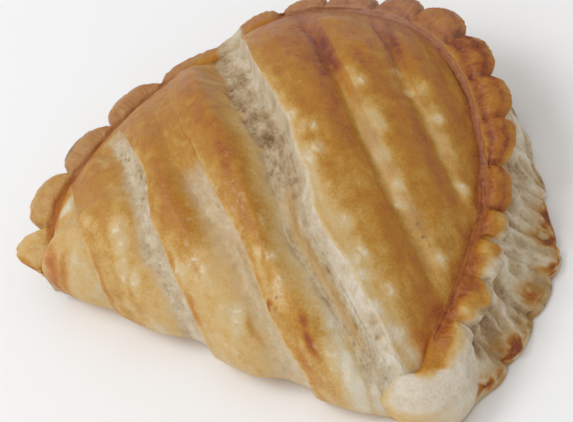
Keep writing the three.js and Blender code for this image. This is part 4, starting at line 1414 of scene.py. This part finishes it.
def rim_masks(length, share, points, corner):
    """Masks and fine relief of the rim. share counts the profile's points from the seam down."""
    at = rim_places(length, share, points, corner)
    blotches = at.noise.blotches
    line, ridge, band = beside_seam(at)
    columns, crumple = wall_folds(at)
    radial = creases(at.place, (1.3, 8, 30), 75, 2)
    below_rim = np.clip(at.on_wall + rising(WALL_ROWS["until"], share), 0, 1)
    baked = wall_bake(at)
    dough, cream = bare_corner(at)
    streak = gap_streak(at)
    burnt = marked(at.warped, at.lowered, RIM_SCORCH_MARKS)

    wall_brown = np.clip(0.34 + 0.8 * baked + 0.14 * blotches, 0, 0.94)
    cream_brown = 0.26 + 0.08 * blotches + 0.25 * bell(at.lowered, 12.5, 1.2)
    brown = mix(lobe_brown(at, line, ridge, band), wall_brown, below_rim * (1 - cream))
    crumb = np.maximum(np.maximum(below_rim * at.crimped, dough), streak * (1 - below_rim))
    crumb = crumb * (1 - cream) - 1.9 * np.clip(baked, 0, 1) * below_rim
    # The pinkish tint on the lobes and along the seam's ridge is partly painted sheen
    lobe_pink_and_sheen = np.array([pink_and_sheen for _, pink_and_sheen in LOBE_BAKES])[at.lobe]
    seam_pink = 0.25 * line * at.back_seam * (1 - at.right_side) + 0.35 * ridge
    masks = {
        "brown": mix(brown, cream_brown, cream),
        "red": 0.8 * line * (1 - at.back_seam) + 0.2 * band,
        "pink_and_sheen": lobe_pink_and_sheen * at.on_top + seam_pink,
        "crumb": crumb * (1 - burnt),
        "tone": wall_tone(at, columns, crumple, dough, streak),
        "scorch": burnt + 0.14 * baked * below_rim,
        "shine": 0.6 * at.on_lobes + 0.5 * baked * below_rim,
        # Painted highlights: pale glint specks on the crests of the lobes' radial creases
        "painted_glints": 0.8 * at.on_lobes * smooth(0.75, 0.9, radial) * smooth(0.2, 0.5, at.noise.fleck_patches),
    }
    return with_relief(masks, rim_relief(at, columns, crumple, radial))


# Meshes

WELD_DISTANCE = 1e-7


def settle(points, middle):
    """Millimetres in the drawing to metres in the frame, where the piece's middle is the origin."""
    moved = points.copy()
    moved[..., 0] -= middle[0]
    moved[..., 1] -= middle[1]
    return moved * MM


def join_and_fill():
    """Joins the mesh's first and last lines of points, and fills its open ends."""
    bpy.ops.object.mode_set(mode="EDIT")
    bpy.ops.mesh.select_all(action="SELECT")
    bpy.ops.mesh.remove_doubles(threshold=WELD_DISTANCE)
    bpy.ops.mesh.select_all(action="DESELECT")
    bpy.ops.mesh.select_mode(type="EDGE")
    bpy.ops.mesh.select_non_manifold(extend=False, use_boundary=True, use_wire=False,
                                     use_multi_face=False, use_non_contiguous=False, use_verts=False)
    bpy.ops.mesh.fill()
    bpy.ops.mesh.select_all(action="SELECT")
    bpy.ops.mesh.normals_make_consistent(inside=False)
    bpy.ops.object.mode_set(mode="OBJECT")


def closed_grid(name, points, masks, middle):
    """A closed mesh from a grid of loops: a plain grid is added, wrapped and set to its points."""
    rows, columns = points.shape[:2]
    bpy.ops.object.select_all(action="DESELECT")
    bpy.ops.mesh.primitive_grid_add(x_subdivisions=columns, y_subdivisions=rows - 1, size=1)
    piece = bpy.context.object
    piece.name = name
    piece.data.name = name
    mesh = piece.data
    wrapped = np.concatenate([points, points[:, :1]], axis=1)
    mesh.vertices.foreach_set("co", settle(wrapped, middle).astype(np.float32).ravel())
    for mask, value in masks.items():
        value = np.concatenate([value, value[:, :1]], axis=1)
        layer = mesh.attributes.new(mask, "FLOAT", "POINT")
        layer.data.foreach_set("value", value.astype(np.float32).ravel())
    mesh.update()
    join_and_fill()
    bpy.ops.object.shade_smooth()
    return piece


# Materials

def paint(red, green, blue):
    """A colour seen as red, green and blue out of 255, as the shader's linear value."""
    def linear(value):
        value /= 255
        return value / 12.92 if value <= 0.04045 else ((value + 0.055) / 1.055) ** 2.4
    return (linear(red), linear(green), linear(blue), 1)


class Nodes:
    """Short calls for building a material's nodes."""

    def __init__(self, tree):
        self.tree = tree

    def add(self, kind, **settings):
        node = self.tree.nodes.new(kind)
        for name, value in settings.items():
            setattr(node, name, value)
        return node

    def link(self, source, target):
        self.tree.links.new(source, target)

    def mask(self, name):
        return self.add("ShaderNodeAttribute", attribute_name=name).outputs["Fac"]

    def feed(self, value, socket):
        """Links another node's output to the socket, or sets the socket to a plain value."""
        if hasattr(value, "is_output"):
            self.link(value, socket)
        else:
            socket.default_value = value

    def blend(self, factor, first, second):
        node = self.add("ShaderNodeMix", data_type="RGBA")
        for place, value in ((0, factor), (6, first), (7, second)):
            self.feed(value, node.inputs[place])
        return node.outputs[2]

    def scaled(self, value, by, plus):
        node = self.add("ShaderNodeMath", operation="MULTIPLY_ADD")
        for socket, number in zip(node.inputs, (value, by, plus)):
            self.feed(number, socket)
        return node.outputs[0]

    def centred(self, grain, by):
        """Grain between 0 and 1, as a change that much wide about 0."""
        return self.scaled(grain, by, -by / 2)

    def added(self, first, second, clamp=False):
        node = self.add("ShaderNodeMath", operation="ADD", use_clamp=clamp)
        for socket, value in zip(node.inputs, (first, second)):
            self.feed(value, socket)
        return node.outputs[0]


def ramp_of(n, factor, stops):
    """A colour ramp from stops: place on it, and the colour seen there out of 255."""
    ramp = n.add("ShaderNodeValToRGB")
    elements = ramp.color_ramp.elements
    elements[0].position, elements[1].position = stops[0][0], stops[-1][0]
    for position, _ in stops[1:-1]:
        elements.new(position)
    for element, (_, colour) in zip(elements, stops):
        element.color = paint(*colour)
    n.link(factor, ramp.inputs["Fac"])
    return ramp.outputs["Color"]


def new_group(name, inputs, outputs):
    """An empty shader group with named sockets, and its input and output nodes."""
    tree = bpy.data.node_groups.new(name, "ShaderNodeTree")
    for direction, sockets in (("INPUT", inputs), ("OUTPUT", outputs)):
        for label, kind in sockets.items():
            tree.interface.new_socket(name=label, in_out=direction, socket_type="NodeSocket" + kind)
    n = Nodes(tree)
    return n, n.add("NodeGroupInput").outputs, n.add("NodeGroupOutput").inputs


def fine_grain_group():
    """Two sizes of soft speckle, in place of the finest grain of the baked surface."""
    inputs = {"Vector": "Vector", "Speckle Scale": "Float", "Mottle Scale": "Float"}
    n, given, result = new_group("fine_grain", inputs, {"Speckle": "Float", "Mottle": "Float"})
    for label, detail in (("Speckle", 3), ("Mottle", 4)):
        grain = n.add("ShaderNodeTexNoise")
        grain.inputs["Detail"].default_value = detail
        n.link(given["Vector"], grain.inputs["Vector"])
        n.link(given[label + " Scale"], grain.inputs["Scale"])
        n.link(grain.outputs["Fac"], result[label])
    return n.tree


def bake_colour_group():
    """The colour of glazed crust from how brown, how red, how pinkish, partly with painted sheen, and how
    burnt it is.
    """
    inputs = dict.fromkeys(("Brown", "Red", "Pink_and_Sheen", "Scorch"), "Float")
    n, given, result = new_group("bake_colour", inputs, {"Color": "Color"})
    plain = ramp_of(n, given["Brown"], [
        (0.00, (216, 204, 180)),
        (0.10, (212, 192, 155)),
        (0.22, (208, 178, 123)),
        (0.32, (207, 171, 108)),
        (0.42, (200, 157, 86)),
        (0.50, (191, 144, 64)),
        (0.58, (184, 131, 42)),
        (0.66, (178, 120, 28)),
        (0.80, (169, 103, 26)),
        (0.90, (153, 82, 22)),
        (1.00, (124, 58, 24)),
    ])
    reddish = ramp_of(n, given["Brown"], [
        (0.20, (208, 158, 96)),
        (0.50, (192, 116, 44)),
        (0.75, (168, 88, 32)),
        (1.00, (112, 46, 22)),
    ])
    colour = n.blend(given["Red"], plain, reddish)
    # A greyish pinkish tint, partly the crust's own colour and partly painted sheen
    colour = n.blend(given["Pink_and_Sheen"], colour, paint(168, 122, 98))
    n.link(n.blend(given["Scorch"], colour, paint(46, 26, 18)), result["Color"])
    return n.tree


def crumb_colour_group():
    """The colour of open dough, from tan pits to white strands."""
    inputs = dict.fromkeys(("Tone", "Mottle", "Speckle"), "Float")
    n, given, result = new_group("crumb_colour", inputs, {"Color": "Color"})
    shifted = n.added(n.centred(given["Mottle"], 0.36), n.centred(given["Speckle"], 0.5))
    colour = ramp_of(n, n.added(given["Tone"], shifted, clamp=True), [
        (0.00, (120, 90, 56)),
        (0.25, (160, 132, 95)),
        (0.50, (187, 166, 133)),
        (0.75, (205, 189, 161)),
        (1.00, (219, 208, 190)),
    ])
    n.link(colour, result["Color"])
    return n.tree


# How the baked surface takes the light: roughness without shine and how much shine takes off it,
# and how deep light goes into it in metres, as red, green and blue
ROUGHNESS = {"dull": 0.76, "shine": -0.5}
SPECULAR = 0.4
BUMP_HEIGHT = 0.0004
GLOW = {"weight": 0.15, "depth": (0.003, 0.0016, 0.0009)}


def surface_finish(n, shader, speckle, mottle, bump_strength):
    """Its gloss, its finest bumps and the light that goes a little way into it."""
    roughness = n.scaled(n.mask("shine"), ROUGHNESS["shine"], ROUGHNESS["dull"])
    n.link(roughness, shader.inputs["Roughness"])
    bump = n.add("ShaderNodeBump")
    bump.inputs["Strength"].default_value = bump_strength
    bump.inputs["Distance"].default_value = BUMP_HEIGHT
    n.link(n.added(mottle, speckle), bump.inputs["Height"])
    n.link(bump.outputs["Normal"], shader.inputs["Normal"])
    shader.inputs["Specular IOR Level"].default_value = SPECULAR
    shader.inputs["Subsurface Weight"].default_value = GLOW["weight"]
    shader.inputs["Subsurface Radius"].default_value = GLOW["depth"]
    shader.inputs["Subsurface Scale"].default_value = 1


# The glint colour is the pale colour of the painted highlights
GLAZED = {
    "speckle_scale": 1500,
    "mottle_scale": 330,
    "glint_colour": paint(226, 214, 186),
    "bump_strength": 0.42,
}
LAYERED = {
    "speckle_scale": 1300,
    "mottle_scale": 420,
    "glint_colour": paint(214, 190, 150),
    "bump_strength": 0.5,
}


def pastry_material(name, groups, speckle_scale, mottle_scale, glint_colour, bump_strength):
    """Baked pastry that goes from open white dough through golden crust to a burnt red-brown."""
    material = bpy.data.materials.new(name)
    material.use_nodes = True
    shader = material.node_tree.nodes["Principled BSDF"]
    n = Nodes(material.node_tree)
    grain = n.add("ShaderNodeGroup", node_tree=groups["fine_grain"])
    n.link(n.add("ShaderNodeTexCoord").outputs["Object"], grain.inputs["Vector"])
    grain.inputs["Speckle Scale"].default_value = speckle_scale
    grain.inputs["Mottle Scale"].default_value = mottle_scale
    speckle, mottle = grain.outputs["Speckle"], grain.outputs["Mottle"]

    uneven = n.added(n.centred(speckle, 0.32), n.centred(mottle, 0.3))
    crust = n.add("ShaderNodeGroup", node_tree=groups["bake_colour"])
    n.link(n.added(n.mask("brown"), uneven, clamp=True), crust.inputs["Brown"])
    for label in ("Red", "Pink_and_Sheen", "Scorch"):
        n.link(n.mask(label.lower()), crust.inputs[label])
    crumb = n.add("ShaderNodeGroup", node_tree=groups["crumb_colour"])
    n.link(n.mask("tone"), crumb.inputs["Tone"])
    n.link(mottle, crumb.inputs["Mottle"])
    n.link(speckle, crumb.inputs["Speckle"])
    # Pale painted highlights are mixed in over the crust's colour
    colour = n.blend(n.mask("painted_glints"), crust.outputs["Color"], glint_colour)
    colour = n.blend(n.mask("crumb"), colour, crumb.outputs["Color"])
    n.link(colour, shader.inputs["Base Color"])
    surface_finish(n, shader, speckle, mottle, bump_strength)
    return material


# Studio

FLOOR_SIZE = 3
FLOOR_GREY = 0.95
FLOOR_ROUGHNESS = 0.9
ROOM_LIGHT = 0.62
SOFTBOXES = {
    "key_softbox": {"place": (-0.5, -0.3, 0.9), "size": 0.55, "power": 4},
    "front_fill": {"place": (0.3, -0.9, 0.7), "size": 0.9, "power": 1.2},
}
NEAREST_SEEN = 0.05


def studio():
    scene = bpy.context.scene
    scene.view_settings.view_transform = "Standard"
    bpy.ops.object.select_all(action="DESELECT")
    bpy.ops.mesh.primitive_plane_add(size=FLOOR_SIZE, location=(0, 0, 0))
    floor = bpy.context.object
    floor.name = "floor"
    pale = bpy.data.materials.new("pale_floor")
    pale.use_nodes = True
    shader = pale.node_tree.nodes["Principled BSDF"]
    shader.inputs["Base Color"].default_value = (FLOOR_GREY, FLOOR_GREY, FLOOR_GREY, 1)
    shader.inputs["Roughness"].default_value = FLOOR_ROUGHNESS
    floor.data.materials.append(pale)

    world = bpy.data.worlds.new("soft_room")
    world.use_nodes = True
    world.node_tree.nodes["Background"].inputs["Color"].default_value = (1, 1, 1, 1)
    world.node_tree.nodes["Background"].inputs["Strength"].default_value = ROOM_LIGHT
    scene.world = world
    for name, settings in SOFTBOXES.items():
        softbox(name, **settings)


def softbox(name, place, size, power):
    light = bpy.data.lights.new(name, "AREA")
    light.energy = power
    light.size = size
    lamp = bpy.data.objects.new(name, light)
    bpy.context.scene.collection.objects.link(lamp)
    lamp.location = place
    lamp.rotation_euler = (-Vector(place)).to_track_quat("-Z", "Y").to_euler()


def camera():
    azimuth = math.radians(CAMERA_AZIMUTH)
    elevation = math.radians(CAMERA_ELEVATION)
    level = math.cos(elevation)
    back = Vector((math.sin(azimuth) * level, -math.cos(azimuth) * level, math.sin(elevation)))
    right = Vector((math.cos(azimuth), math.sin(azimuth), 0))
    up = back.cross(right)
    roll = math.radians(-CAMERA_ROLL)
    turned_right = right * math.cos(roll) + up * math.sin(roll)
    turned_up = up * math.cos(roll) - right * math.sin(roll)
    place = (Vector(LOOK_AT) + back * CAMERA_DISTANCE) * MM
    turn = Matrix((turned_right, turned_up, back)).transposed().to_4x4()
    data = bpy.data.cameras.new("camera")
    data.lens = CAMERA_LENS
    data.clip_start = NEAREST_SEEN
    eye = bpy.data.objects.new("camera", data)
    bpy.context.scene.collection.objects.link(eye)
    eye.matrix_world = Matrix.Translation(place) @ turn
    bpy.context.scene.camera = eye


def main():
    camera()
    studio()
    grids = {name: crust_grid(name) for name in ("front_crust", "back_crust")}
    grids["crimped_rim"] = rim_grid()
    everything = np.concatenate([points.reshape(-1, 3) for points, _ in grids.values()])
    middle = (everything.min(axis=0) + everything.max(axis=0)) / 2
    groups = {
        "fine_grain": fine_grain_group(),
        "bake_colour": bake_colour_group(),
        "crumb_colour": crumb_colour_group(),
    }
    glazed = pastry_material("glazed_crust", groups, **GLAZED)
    layered = pastry_material("layered_rim", groups, **LAYERED)
    for name, (points, masks) in grids.items():
        piece = closed_grid(name, points, masks, middle)
        piece.data.materials.append(layered if name == "crimped_rim" else glazed)
        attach(piece, "root")
        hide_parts("turnover")


main()
